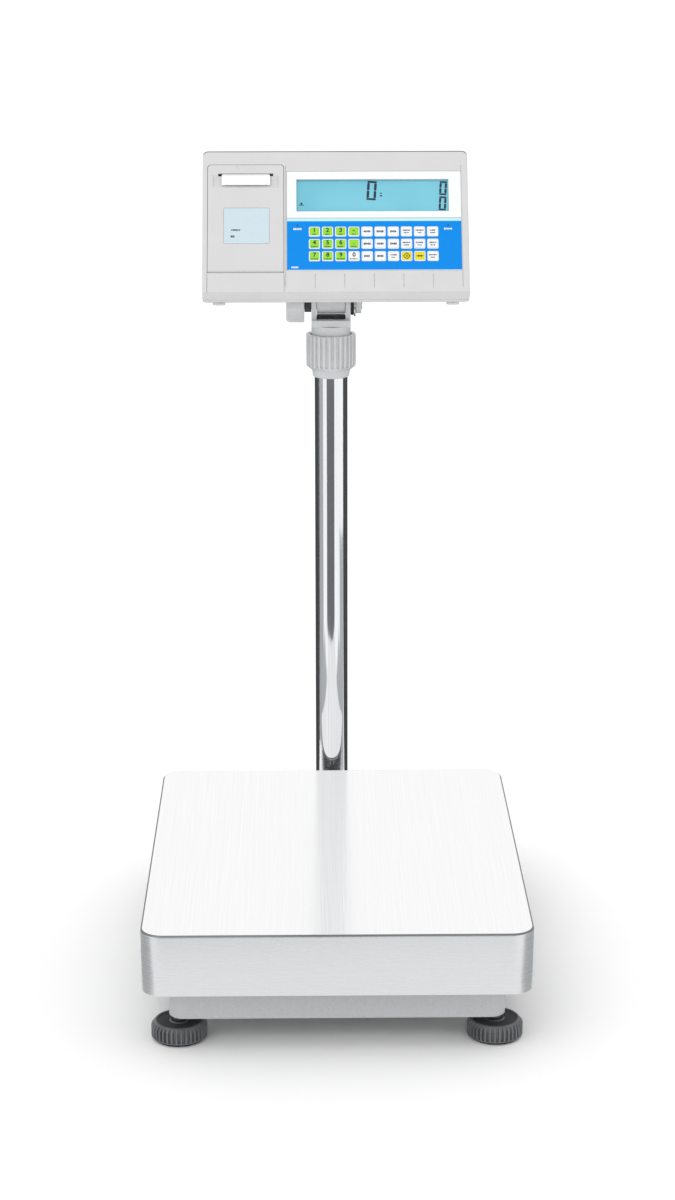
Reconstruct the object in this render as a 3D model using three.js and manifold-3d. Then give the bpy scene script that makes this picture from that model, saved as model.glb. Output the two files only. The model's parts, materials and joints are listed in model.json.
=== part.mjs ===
// A bench scale with a label printer: stainless pan on a load-cell platform, and a tilting
// indicator head on a chromed pillar. Millimetres, +Z up, the front faces -Y.
import * as THREE from "three";
import { mergeVertices } from "three/addons/utils/BufferGeometryUtils.js";
import Module from "manifold-3d";

const wasm = await Module();
wasm.setup();

// ---------- driving dimensions ----------

const fit = 0.3; // clearance between pieces that seat on or pass through each other

const pan = { width: 400, length: 500, skirt: 66, sheet: 1.5, corner: 24, overhang: 26.5 };
const foot = { radius: 29, height: 20, gap: 9, sole: 2.6, soleRadius: 26, flutes: 36, fluteDepth: 1.6 };
const stud = { radius: 5, length: 32, travel: 3, bossRadius: 9, insetX: 10, insetY: 20.5 };
const base = { depth: 41, wall: 3, corner: 16 };
const cell = { length: 150, width: 40, height: 36, pad: 5, padLength: 46, eye: 10, eyeSpread: 32, slot: 6 };
const spider = { margin: 35, plate: 4, flange: 12, wall: 3, border: 36, spine: 84, pad: 4, corner: 12 };
const restPad = { radius: 12, height: 11.5, inset: 24 };
const level = { radius: 10, height: 7, x: -105, y: -185 };
const gland = { radius: 8, nut: 11, length: 15, x: 78 };

const pillar = { radius: 19, wall: 1.5, length: 570, behindPan: 40 };
const socket = {
  wall: 4, height: 80, flange: 6, floor: 3, width: 68, length: 50, cableHole: 8, chamfer: 3,
};
const bracket = { width: 92, plate: 4, height: 31, drop: 2, boltSpread: 62, corner: 8 };
const bolt = { radius: 4, headRadius: 7.5, head: 5.3, shank: 14 };
const bush = { head: 27, headRadius: 22.8, bore: 14.3, insert: 38 };
const collar = { radius: 28.5, below: 14, height: 50, cone: 12.5, lip: 3, flutes: 28, fluteDepth: 1.3 };
const yoke = {
  neckRadius: 22.5, neck: 18, block: 8.1, blockLength: 40, ear: 5.5, gap: 33.8, earRadius: 11.5,
  rise: 15, cableBore: 8,
};
const tiltBolt = {
  radius: 5, nutFlats: 17, nut: 6.4, washer: 1.9, washerRadius: 13, friction: 3.2,
  frictionRadius: 11.5,
};
const lever = {
  length: 20.8, hub: 11, wing: 12, reach: 19.5, chamfer: 4, spacer: 7.7, spacerRadius: 8, bore: 15,
};

const head = {
  width: 300, shift: 5, face: 170.5, lean: 30, corner: 6, wall: 2.5, bezel: 9, forward: 77.5,
  rise: 27.4, underside: 14.5, chinIn: 6.5, back: 43,
};
const boss = { width: 33, radius: 10, web: 9, flange: 3, flangeWidth: 62, flangeLength: 40 };
const strip = { width: 14, length: 78, height: 3.4, inset: 18.5 };
const caseScrew = {
  radius: 2, head: 4, sink: 1.6, below: 0.4, cross: 1.4, crossDepth: 0.55, length: 16,
  spreadX: 262, low: 32, high: 108,
};

const keypad = { x: 43.5, width: 196.4, height: 119.4, sheet: 0.5, recess: 0.8, border: 0.5 };
const lcd = { x: -1.5, y: 30.8, width: 172, height: 39, module: 5, marginX: 4, marginY: 4 };
const panelGroove = { width: 1.2, depth: 0.7, left: -56.3, right: 142.3, top: 66.7, bottom: -79.6 };
const tab = { count: 6, top: -64.1, bottom: -80.3, line: 1 };
const board = { width: 188, height: 108, sheet: 1.6, depth: 17 };
const battery = { width: 100, length: 46, height: 34, x: 78, y: 4 };
const port = {
  serialWidth: 31, serialHeight: 12.5, reach: 5.5, z: 44, depth: 9, flange: 1.6, jackRadius: 5.5,
  jackBore: 2.8, cellRadius: 8, cellBore: 5.4, throatInset: 7, throatDepth: 5,
};

const door = {
  x: -101.3, width: 86.5, top: 68.4, hinge: -58.2, sheet: 2.6, barrel: 3.8, pin: 1.5, pinLength: 2,
  gap: 0.5, corner: 4, rib: 5, ribInset: 5,
};
const slot = { y: 56, height: 3.2, room: 3.65, scoopY: 48, scoopRadius: 20, scoopDepth: 1.7, scoopRoom: 6 };
const doorLabel = { side: 17.75, height: 42.5, x: 1, y: -5.8, sheet: 0.3, recess: 0.7 };
const paper = { margin: 0.65, sheet: 0.35, end: 43, x: 0.3 };
const cradle = {
  wall: 2, sideGap: 0.9, front: 3.5, deep: 64, shallow: 40, step: 17, bottom: -52.5, top: 65,
};
const roll = { radius: 28, core: 9, margin: 2, lip: 6, y: -15, depth: 34, spindleEnd: 3.5 };
const chassis = { sideRoom: 6.35, sheet: 3, bottom: 35.5, top: 62, front: 5.5, back: 34 };
const platen = { radius: 5, shaft: 2, y: 50, depth: 14, endGap: 1 };
const gear = { module: 0.6, platenTeeth: 24, motorTeeth: 16, width: 3, motorDrop: 6 };
const motor = { radius: 6.4, length: 22, shaft: 1 };

// ---------- places that follow from the sizes ----------

const baseWidth = pan.width - 2 * pan.overhang;
const baseLength = pan.length - 2 * pan.overhang;
const spiderWidth = pan.width - 2 * spider.margin;
const spiderLength = pan.length - 2 * spider.margin;
const baseBottom = foot.height + foot.gap;
const baseTop = baseBottom + base.depth;
const spiderBottom = baseTop + cell.pad + cell.height + spider.pad;
const spiderTop = spiderBottom + spider.plate;
const panTop = spiderTop + restPad.height + pan.sheet;
const panBottom = panTop - pan.skirt;
const footX = baseWidth / 2 - stud.insetX;
const footY = baseLength / 2 - stud.insetY;

const pillarY = pan.length / 2 + pillar.behindPan;
const shelfZ = baseBottom + bracket.drop;
const socketZ = shelfZ + bracket.plate + fit;
const tubeBottom = socketZ + socket.flange + socket.floor + fit;
const tubeTop = tubeBottom + pillar.length;
const socketRadius = pillar.radius + fit + socket.wall;
const bushTop = tubeTop + fit + bush.head;
const neckBottom = bushTop + fit;
const yokeFloor = neckBottom + yoke.neck + yoke.block;
const tiltZ = yokeFloor + yoke.rise;
const yokeHalf = yoke.gap / 2 + yoke.ear;

const cradleWidth = door.width - 2 * cradle.sideGap;
const chassisWidth = cradleWidth - 2 * cradle.wall - 2 * chassis.sideRoom;
const platenLength = chassisWidth - 2 * chassis.sheet - 2 * platen.endGap;
const rollWidth = platenLength - 2 * roll.margin;
const paperWidth = rollWidth - 2 * paper.margin;
const slotWidth = paperWidth + 2 * slot.room;
const labelWidth = door.width - 2 * doorLabel.side;

const lean = THREE.MathUtils.degToRad(head.lean);
const faceUp = [Math.sin(lean), Math.cos(lean)]; // up along the face, as (y, z)
const faceLow = [-head.forward, head.rise];
const faceMid = faceLow.map((v, i) => v + (faceUp[i] * head.face) / 2);
const rearmost = pillarY + Math.max(head.back + port.reach, socketRadius, socket.length / 2);
const middleY = (rearmost - pan.length / 2) / 2; // the outer box's middle, from the pan's middle

// ---------- materials ----------

const finish = (color, roughness, metalness) =>
  new THREE.MeshStandardMaterial({ color, roughness, metalness });
const stainless = finish(0xd9dadb, 0.3, 1);
const chrome = finish(0xe6e7e8, 0.08, 1);
const steel = finish(0xb4b6b8, 0.35, 1);
const aluminium = finish(0xc2c4c6, 0.4, 1);
const painted = finish(0xa9aaab, 0.5, 0.3);
const blackPaint = finish(0x26272a, 0.55, 0.1);
const housing = finish(0xe2e2e0, 0.5, 0);
const greyPlastic = finish(0xc9cacb, 0.5, 0);
const darkPlastic = finish(0x4b4c4f, 0.55, 0);
const rubber = finish(0x2a2a2c, 0.9, 0);
const membraneFilm = finish(0x0a8ff0, 0.45, 0);
const displayGlass = finish(0x86d3e4, 0.15, 0);
const boardGreen = finish(0x1f5b3a, 0.5, 0);
const paperWhite = finish(0xf2f4f5, 0.8, 0);
const labelBlue = finish(0xdae8ef, 0.6, 0);

// ---------- building blocks ----------

// A closed geometry as a manifold-3d solid, without its collapsed triangles.
function solid(geometry) {
  const bare = geometry.index ? geometry.toNonIndexed() : geometry.clone();
  for (const name of ["normal", "uv"]) bare.deleteAttribute(name);
  const merged = mergeVertices(bare, 1e-4);
  const index = merged.index.array;
  const triVerts = [];
  for (let i = 0; i < index.length; i += 3) {
    const [a, b, c] = [index[i], index[i + 1], index[i + 2]];
    if (a !== b && b !== c && c !== a) triVerts.push(a, b, c);
  }
  const vertProperties = merged.attributes.position.array;
  return new wasm.Manifold(
    new wasm.Mesh({ numProp: 3, vertProperties, triVerts: new Uint32Array(triVerts) }),
  );
}

function geometryOf(made) {
  const mesh = made.getMesh();
  const geometry = new THREE.BufferGeometry();
  const position = new Float32Array(mesh.numVert * 3);
  for (let i = 0; i < mesh.numVert; i++) {
    const start = i * mesh.numProp;
    position.set(mesh.vertProperties.subarray(start, start + 3), i * 3);
  }
  geometry.setAttribute("position", new THREE.BufferAttribute(position, 3));
  geometry.setIndex(new THREE.BufferAttribute(mesh.triVerts, 1));
  geometry.computeVertexNormals();
  return geometry;
}

const block = (x, y, z) => new THREE.BoxGeometry(x, y, z);

// A box between two corners.
const span = (x0, x1, y0, y1, z0, z1) =>
  block(x1 - x0, y1 - y0, z1 - z0).translate((x0 + x1) / 2, (y0 + y1) / 2, (z0 + z1) / 2);

function rod(radius, length, axis = "z", sides = 24) {
  const made = new THREE.CylinderGeometry(radius, radius, length, sides);
  if (axis === "z") made.rotateX(Math.PI / 2);
  if (axis === "x") made.rotateZ(Math.PI / 2);
  return made;
}

// A rod along Z between two heights.
const upright = (radius, z0, z1, sides = 24) =>
  rod(radius, z1 - z0, "z", sides).translate(0, 0, (z0 + z1) / 2);

// A solid of revolution about Z from (radius, height) points that start and end on the axis.
const turned = (points, sides = 24) =>
  new THREE.LatheGeometry(points.map(([r, z]) => new THREE.Vector2(r, z)), sides).rotateX(Math.PI / 2);

function roundedRect(width, height, radius) {
  const [w, h] = [width / 2, height / 2];
  const r = Math.min(radius, w, h);
  const shape = new THREE.Shape();
  shape.absarc(w - r, h - r, r, 0, Math.PI / 2);
  shape.absarc(r - w, h - r, r, Math.PI / 2, Math.PI);
  shape.absarc(r - w, r - h, r, Math.PI, 1.5 * Math.PI);
  shape.absarc(w - r, r - h, r, 1.5 * Math.PI, 2 * Math.PI);
  return shape;
}

const polygon = (points) => new THREE.Shape(points.map(([x, y]) => new THREE.Vector2(x, y)));

// A shape raised along Z from height z.
const raised = (shape, depth, z = 0, curveSegments = 3) =>
  new THREE.ExtrudeGeometry(shape, { depth, bevelEnabled: false, curveSegments }).translate(0, 0, z);

// A shape drawn as (y, z), extruded along X between x0 and x1.
function alongX(shape, x0, x1, curveSegments = 3) {
  const turn = new THREE.Matrix4().makeBasis(
    new THREE.Vector3(0, 1, 0),
    new THREE.Vector3(0, 0, 1),
    new THREE.Vector3(1, 0, 0),
  );
  const made = new THREE.ExtrudeGeometry(shape, { depth: x1 - x0, bevelEnabled: false, curveSegments });
  return made.applyMatrix4(turn).translate(x0, 0, 0);
}

// A round outline with grooves, one low and one high pair of points to a groove.
function flutedShape(radius, depth, count) {
  const points = [];
  const step = (2 * Math.PI) / count;
  for (let i = 0; i < count; i++) {
    for (const [share, r] of [[0, radius - depth], [0.5, radius]]) {
      const angle = (i + share) * step;
      points.push([r * Math.cos(angle), r * Math.sin(angle)]);
    }
  }
  return polygon(points);
}

function hexShape(acrossFlats) {
  const r = acrossFlats / Math.sqrt(3);
  const corner = (i) => [r * Math.cos((i * Math.PI) / 3), r * Math.sin((i * Math.PI) / 3)];
  return polygon([0, 1, 2, 3, 4, 5].map(corner));
}

const scale = new THREE.Group();
scale.position.y = -middleY;

function piece(name, form, material, parent = scale) {
  const mesh = new THREE.Mesh(form.isBufferGeometry ? form : geometryOf(form), material);
  mesh.name = name;
  parent.add(mesh);
  return mesh;
}

// ---------- platform ----------

// Where the corners of a rectangle are, named for the front or rear and the left or right.
const corners = (x, y) => [
  ["front_left", -x, -y],
  ["front_right", x, -y],
  ["rear_left", -x, y],
  ["rear_right", x, y],
];

function baseFrame() {
  const outline = roundedRect(baseWidth, baseLength, base.corner);
  const outer = solid(raised(outline, base.depth, baseBottom));
  const innerShape = roundedRect(
    baseWidth - 2 * base.wall,
    baseLength - 2 * base.wall,
    base.corner - base.wall,
  );
  const hollowTop = baseTop - base.wall;
  let frame = outer.subtract(solid(raised(innerShape, hollowTop - baseBottom + 1, baseBottom - 1)));
  for (const [, x, y] of corners(footX, footY)) {
    const post = upright(stud.bossRadius, baseBottom, hollowTop + 1).translate(x, y, 0);
    frame = frame.add(solid(post).intersect(outer));
  }
  const boreTop = foot.height + stud.length + stud.travel + 2;
  for (const [, x, y] of corners(footX, footY)) {
    const bore = upright(stud.radius + fit, baseBottom - 1, boreTop, 12);
    frame = frame.subtract(solid(bore.translate(x, y, 0)));
  }
  const seat = span(-cell.width / 2, cell.width / 2, 0, cell.padLength, 0, cell.pad + 1);
  seat.translate(0, cell.length / 2 - cell.padLength, baseTop - 1);
  frame = frame.add(solid(seat));
  const wallY = baseLength / 2;
  for (const side of [-1, 1]) {
    const hole = rod(bolt.radius + fit, 4 * base.wall, "y", 12);
    frame = frame.subtract(solid(hole.translate((side * bracket.boltSpread) / 2, wallY, boltZ)));
  }
  const glandHole = rod(gland.radius + fit, 4 * base.wall, "y", 12).translate(gland.x, wallY, boltZ);
  return frame.subtract(solid(glandHole));
}

function loadCell() {
  const bottom = baseTop + cell.pad + fit;
  const top = bottom + cell.height - 2 * fit;
  const middle = (bottom + top) / 2;
  let bar = solid(span(-cell.width / 2, cell.width / 2, -cell.length / 2, cell.length / 2, bottom, top));
  for (const side of [-1, 1]) {
    const eye = rod(cell.eye, cell.width + 2, "x", 12).translate(0, (side * cell.eyeSpread) / 2, middle);
    bar = bar.subtract(solid(eye));
  }
  const waist = block(cell.width + 2, cell.eyeSpread, cell.slot).translate(0, 0, middle);
  return bar.subtract(solid(waist));
}

// The upper frame that carries the pan: a flanged plate with four windows round a spine.
function topFrame() {
  const { border, spine, wall, flange, plate, corner } = spider;
  const [width, length] = [spiderWidth, spiderLength];
  const flangeBottom = spiderBottom - flange;
  let frame = solid(raised(roundedRect(width, length, corner), flange + plate, flangeBottom));
  const inner = roundedRect(width - 2 * wall, length - 2 * wall, corner - wall);
  const hollow = raised(inner, flange + 1, flangeBottom - 1);
  frame = frame.subtract(solid(hollow));
  const windowWidth = (width - spine) / 2 - border;
  const windowLength = (length - spine) / 2 - border;
  for (const [, x, y] of corners((spine + windowWidth) / 2, (spine + windowLength) / 2)) {
    const opening = raised(roundedRect(windowWidth, windowLength, 10), plate + 2, spiderBottom - 1);
    frame = frame.subtract(solid(opening.translate(x, y, 0)));
  }
  const seat = block(cell.width, cell.padLength, spider.pad + 1);
  seat.translate(0, -(cell.length - cell.padLength) / 2, spiderBottom - spider.pad / 2 + 0.5);
  return frame.add(solid(seat));
}

function weighingPan() {
  const inner = roundedRect(pan.width - 2 * pan.sheet, pan.length - 2 * pan.sheet, pan.corner - pan.sheet);
  const outer = solid(raised(roundedRect(pan.width, pan.length, pan.corner), pan.skirt, panBottom));
  return outer.subtract(solid(raised(inner, pan.skirt - pan.sheet + 1, panBottom - 1)));
}

// A levelling foot: a fluted wheel with a sloped shoulder, on a threaded stud.
function levellingFoot() {
  const low = foot.sole + fit;
  const rim = solid(raised(flutedShape(foot.radius, foot.fluteDepth, foot.flutes), foot.height - low, low));
  const shoulder = foot.height - 4.4;
  const envelope = turned([
    [0, low],
    [foot.radius + 1, low],
    [foot.radius + 1, shoulder],
    [foot.radius - 3.5, foot.height],
    [0, foot.height],
  ], foot.flutes);
  const threaded = upright(stud.radius, foot.height - 3, foot.height + stud.length, 12);
  return rim.intersect(solid(envelope)).add(solid(threaded));
}

const boltZ = shelfZ + bracket.height * 0.55;

function platform() {
  piece("base_frame", baseFrame(), painted);
  piece("load_cell", loadCell(), aluminium);
  piece("top_frame", topFrame(), painted);
  const padX = spiderWidth / 2 - restPad.inset;
  const padY = spiderLength / 2 - restPad.inset;
  for (const [where, x, y] of corners(padX, padY)) {
    const made = upright(restPad.radius, spiderTop + fit, spiderTop + restPad.height - fit, 24);
    piece("rest_pad_" + where, made.translate(x, y, 0), rubber);
  }
  const vial = turned(
    [
      [0, 0],
      [level.radius, 0],
      [level.radius, level.height - 2],
      [level.radius - 2, level.height],
      [0, level.height],
    ],
    24,
  );
  piece("spirit_level", vial.translate(level.x, level.y, baseTop + fit), greyPlastic);
  piece("weighing_pan", weighingPan(), stainless);
  for (const [where, x, y] of corners(footX, footY)) {
    const wheel = piece("foot_" + where, levellingFoot(), darkPlastic);
    wheel.position.set(x, y, 0);
    const sole = upright(foot.soleRadius, 0, foot.sole, 36);
    piece("foot_sole_" + where, sole.translate(x, y, 0), rubber);
  }
}

// ---------- pillar and its bracket ----------

function pillarBracket() {
  const y0 = baseLength / 2 + fit;
  const y1 = pillarY + socket.length / 2 + 2;
  const wallTop = shelfZ + bracket.height;
  const profile = polygon([
    [y0, shelfZ],
    [y1, shelfZ],
    [y1, shelfZ + bracket.plate],
    [y0 + bracket.plate, shelfZ + bracket.plate],
    [y0 + bracket.plate, wallTop],
    [y0, wallTop],
  ]);
  let plate = solid(alongX(profile, -bracket.width / 2, bracket.width / 2));
  const shelf = roundedRect(bracket.width, 2 * (y1 - y0), bracket.corner);
  plate = plate.intersect(solid(raised(shelf, bracket.height + 2, shelfZ - 1).translate(0, y0, 0)));
  for (const side of [-1, 1]) {
    const hole = rod(bolt.radius + fit, 4 * bracket.plate, "y", 12);
    plate = plate.subtract(solid(hole.translate((side * bracket.boltSpread) / 2, y0, boltZ)));
  }
  const cableHole = upright(socket.cableHole, shelfZ - 1, shelfZ + bracket.plate + 1, 24);
  return plate.subtract(solid(cableHole.translate(0, pillarY, 0)));
}

function pillarSocket() {
  const bore = pillar.radius + fit;
  const top = socketZ + socket.height;
  const flangeTop = socketZ + socket.flange;
  const flange = raised(roundedRect(socket.width, socket.length, 10), socket.flange, socketZ);
  const tube = turned([
    [0, flangeTop - 1],
    [socketRadius, flangeTop - 1],
    [socketRadius, top - socket.chamfer],
    [socketRadius - socket.chamfer, top],
    [0, top],
  ]);
  return solid(flange)
    .add(solid(tube))
    .subtract(solid(upright(bore, flangeTop + socket.floor, top + 1)))
    .subtract(solid(upright(socket.cableHole, socketZ - 1, top, 12)));
}

function hexBolt(x) {
  const y0 = baseLength / 2 + bracket.plate + 2 * fit;
  const headShape = raised(hexShape(bolt.headRadius * Math.sqrt(3)), bolt.head).rotateX(-Math.PI / 2);
  const shank = rod(bolt.radius, bolt.shank, "y", 12).translate(0, -bolt.shank / 2 + 1, 0);
  return solid(headShape).add(solid(shank)).translate([x, y0, boltZ]);
}

// The threaded gland on the rear wall that the load-cell lead leaves through.
function cableGland() {
  const y0 = baseLength / 2 + fit;
  const nut = raised(hexShape(gland.nut * Math.sqrt(3)), 6).rotateX(-Math.PI / 2);
  const stem = rod(gland.radius, gland.length, "y", 12).translate(0, gland.length / 2 - base.wall - 2, 0);
  const dome = rod(gland.radius - 1.5, gland.length - 3, "y", 12).translate(0, gland.length / 2, 0);
  const bore = rod(2.6, 4 * gland.length, "y", 12);
  const made = solid(nut).add(solid(stem)).add(solid(dome)).subtract(solid(bore));
  return made.translate([gland.x, y0, boltZ]);
}

function lockCollar() {
  const bottom = tubeTop - collar.below;
  const top = bottom + collar.height;
  const fluted = flutedShape(collar.radius, collar.fluteDepth, collar.flutes);
  const ribs = solid(raised(fluted, collar.height, bottom));
  const waist = collar.radius - 4.5;
  const coneTop = bottom + collar.cone;
  const envelope = turned(
    [
      [0, bottom],
      [pillar.radius + collar.lip, bottom],
      [waist, coneTop - 4.5],
      [collar.radius + 0.2, coneTop + 0.5],
      [collar.radius + 0.2, top - 1.5],
      [collar.radius - 1.5, top],
      [0, top],
    ],
    collar.flutes,
  );
  const bore = Math.max(yoke.neckRadius, bush.headRadius) + 2 * fit;
  return ribs
    .intersect(solid(envelope))
    .subtract(solid(upright(pillar.radius + 2 * fit, bottom - 1, top)))
    .subtract(solid(upright(bore, coneTop - 1, top + 1)));
}

function yokeBody() {
  const neck = upright(yoke.neckRadius, neckBottom, yokeFloor - yoke.block / 2);
  const spigot = upright(bush.bore - fit, neckBottom - bush.head - 4, neckBottom + 1);
  const slab = raised(roundedRect(2 * yokeHalf, yoke.blockLength, 3), yoke.block, yokeFloor - yoke.block);
  const r = yoke.earRadius;
  const earShape = new THREE.Shape();
  earShape.moveTo(-r, yokeFloor - 1);
  earShape.lineTo(r, yokeFloor - 1);
  earShape.absarc(0, tiltZ, r, 0, Math.PI);
  let made = solid(neck).add(solid(spigot)).add(solid(slab));
  made = made.add(solid(alongX(earShape, -yokeHalf, -yoke.gap / 2, 12)));
  made = made.add(solid(alongX(earShape, yoke.gap / 2, yokeHalf, 12)));
  const cross = rod(tiltBolt.radius + fit, 3 * yokeHalf, "x", 12).translate(0, 0, tiltZ);
  const cableWay = upright(yoke.cableBore, neckBottom - 2 * bush.head, yokeFloor + 1, 24);
  return made.subtract(solid(cross)).subtract(solid(cableWay));
}

// Rings on the tilt axis, from x0, told by their thickness and outer radius.
function ringOnAxis(x0, thickness, radius) {
  const disc = rod(radius, thickness, "x", 24).translate(x0 + thickness / 2, 0, 0);
  const hole = rod(tiltBolt.radius + fit, 3 * thickness + 4, "x", 12).translate(x0, 0, 0);
  return solid(disc).subtract(solid(hole));
}

const leverStart = -yokeHalf - lever.spacer - 2 * fit; // the lever's inner end, on the left
const nutStart = yokeHalf + tiltBolt.friction + tiltBolt.washer + 3 * fit;

function tiltNut() {
  const body = raised(hexShape(tiltBolt.nutFlats), tiltBolt.nut).rotateZ(Math.PI / 2);
  const turnToX = body.rotateY(Math.PI / 2).rotateX(Math.PI / 6).translate(nutStart, 0, 0);
  const hole = rod(tiltBolt.radius + fit, 60, "x", 12).translate(nutStart, 0, 0);
  return solid(turnToX).subtract(solid(hole));
}

function tiltLever() {
  const end = leverStart - lever.length;
  const wing = new THREE.Shape();
  const start = Math.asin(lever.wing / 2 / lever.hub);
  wing.absarc(0, 0, lever.hub, -Math.PI / 2 + start, 1.5 * Math.PI - start);
  wing.lineTo(-lever.wing / 2, 2 - lever.reach);
  wing.lineTo(2 - lever.wing / 2, -lever.reach);
  wing.lineTo(lever.wing / 2 - 2, -lever.reach);
  wing.lineTo(lever.wing / 2, 2 - lever.reach);
  const bevel = polygon([
    [end - 1, -lever.reach - 2],
    [end + lever.chamfer + 1, -lever.reach - 2],
    [end - 1, -lever.reach + lever.chamfer],
  ]);
  const corner = raised(bevel, 60, -30).rotateX(Math.PI / 2);
  const bore = rod(tiltBolt.radius + fit, lever.bore + 1, "x", 12);
  return solid(alongX(wing, end, leverStart, 12))
    .subtract(solid(corner))
    .subtract(solid(bore.translate(leverStart - lever.bore / 2 + 0.5, 0, 0)));
}

function column() {
  piece("pillar_bracket", pillarBracket(), blackPaint);
  const mount = new THREE.Group();
  mount.position.y = pillarY;
  scale.add(mount);
  piece("pillar_socket", pillarSocket(), blackPaint, mount);
  for (const [side, sign] of [["left", -1], ["right", 1]]) {
    piece("bracket_bolt_" + side, hexBolt((sign * bracket.boltSpread) / 2), steel);
  }
  piece("cable_gland", cableGland(), darkPlastic);
  const bore = pillar.radius - pillar.wall;
  const tube = solid(upright(pillar.radius, tubeBottom, tubeTop, 32));
  const inside = solid(upright(bore, tubeBottom - 1, tubeTop + 1, 32));
  piece("pillar", tube.subtract(inside), chrome, mount);
  const bushHead = solid(upright(bush.headRadius, tubeTop + fit, bushTop));
  const insert = solid(upright(bore - fit, tubeTop - bush.insert, tubeTop + 1));
  const through = solid(upright(bush.bore, tubeTop - bush.insert - 1, bushTop + 1));
  piece("tube_bush", bushHead.add(insert).subtract(through), darkPlastic, mount);
  piece("lock_collar", lockCollar(), greyPlastic, mount);
  piece("yoke", yokeBody(), greyPlastic, mount);

  const axis = new THREE.Group();
  axis.position.z = tiltZ;
  mount.add(axis);
  const boltStart = leverStart - lever.bore + 1;
  const boltEnd = nutStart + tiltBolt.nut + 1;
  const shaft = rod(tiltBolt.radius, boltEnd - boltStart, "x", 12);
  piece("tilt_bolt", shaft.translate((boltStart + boltEnd) / 2, 0, 0), steel, axis);
  const outside = yokeHalf + fit;
  piece("friction_washer", ringOnAxis(outside, tiltBolt.friction, tiltBolt.frictionRadius), rubber, axis);
  const washerX = outside + tiltBolt.friction + fit;
  piece("tilt_washer", ringOnAxis(washerX, tiltBolt.washer, tiltBolt.washerRadius), steel, axis);
  piece("tilt_nut", tiltNut(), steel, axis);
  piece("lever_spacer", ringOnAxis(leverStart + fit, lever.spacer, lever.spacerRadius), blackPaint, axis);
  piece("tilt_lever", tiltLever(), greyPlastic, axis);
  return axis;
}

// ---------- indicator head ----------

const faceMatrix = new THREE.Matrix4()
  .makeTranslation(0, faceMid[0], faceMid[1])
  .multiply(new THREE.Matrix4().makeRotationX(Math.PI / 2 - lean));
const onFace = (geometry) => geometry.applyMatrix4(faceMatrix);

// The head's side outline as (y, z) about the tilt axis, with every side moved in by a wall.
function sideOutline(wall) {
  const top = faceLow.map((v, i) => v + faceUp[i] * head.face);
  const reach = (head.back - top[0]) / Math.cos(lean); // how far the top runs back to the rear wall
  const outline = [
    faceLow,
    [head.chinIn - head.forward, head.underside],
    [head.back, head.underside],
    [head.back, top[1] - reach * Math.sin(lean)],
    top,
  ];
  const sides = outline.map((p, i) => {
    const q = outline[(i + 1) % outline.length];
    const length = Math.hypot(q[0] - p[0], q[1] - p[1]);
    const [dy, dz] = [(q[0] - p[0]) / length, (q[1] - p[1]) / length];
    return { point: [p[0] - dz * wall, p[1] + dy * wall], dir: [dy, dz] };
  });
  return sides.map((next, i) => {
    const before = sides[(i + sides.length - 1) % sides.length];
    const cross = before.dir[0] * next.dir[1] - before.dir[1] * next.dir[0];
    const [ey, ez] = [next.point[0] - before.point[0], next.point[1] - before.point[1]];
    const along = (ey * next.dir[1] - ez * next.dir[0]) / cross;
    return [before.point[0] + before.dir[0] * along, before.point[1] + before.dir[1] * along];
  });
}

// The head's whole form, smaller by a wall all round.
function headForm(wall) {
  const half = head.width / 2 - wall;
  const outline = sideOutline(wall);
  const upFace = ([y, z]) => (y - faceMid[0]) * faceUp[0] + (z - faceMid[1]) * faceUp[1];
  const low = Math.min(...outline.map(upFace));
  const high = head.face / 2 - wall;
  const rect = roundedRect(2 * half, high - low, Math.max(head.corner - wall, 1));
  const prism = onFace(raised(rect, 400, -300).translate(0, (high + low) / 2, 0));
  return solid(alongX(polygon(outline), -half, half)).intersect(solid(prism));
}

// Everything in front of, or behind, a plane parallel to the face.
const slab = (z0, z1) => solid(onFace(span(-500, 500, -500, 500, z0, z1)));

const groove = (x0, x1, y0, y1, depth) => solid(onFace(span(x0, x1, y0, y1, -depth, 5)));

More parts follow.
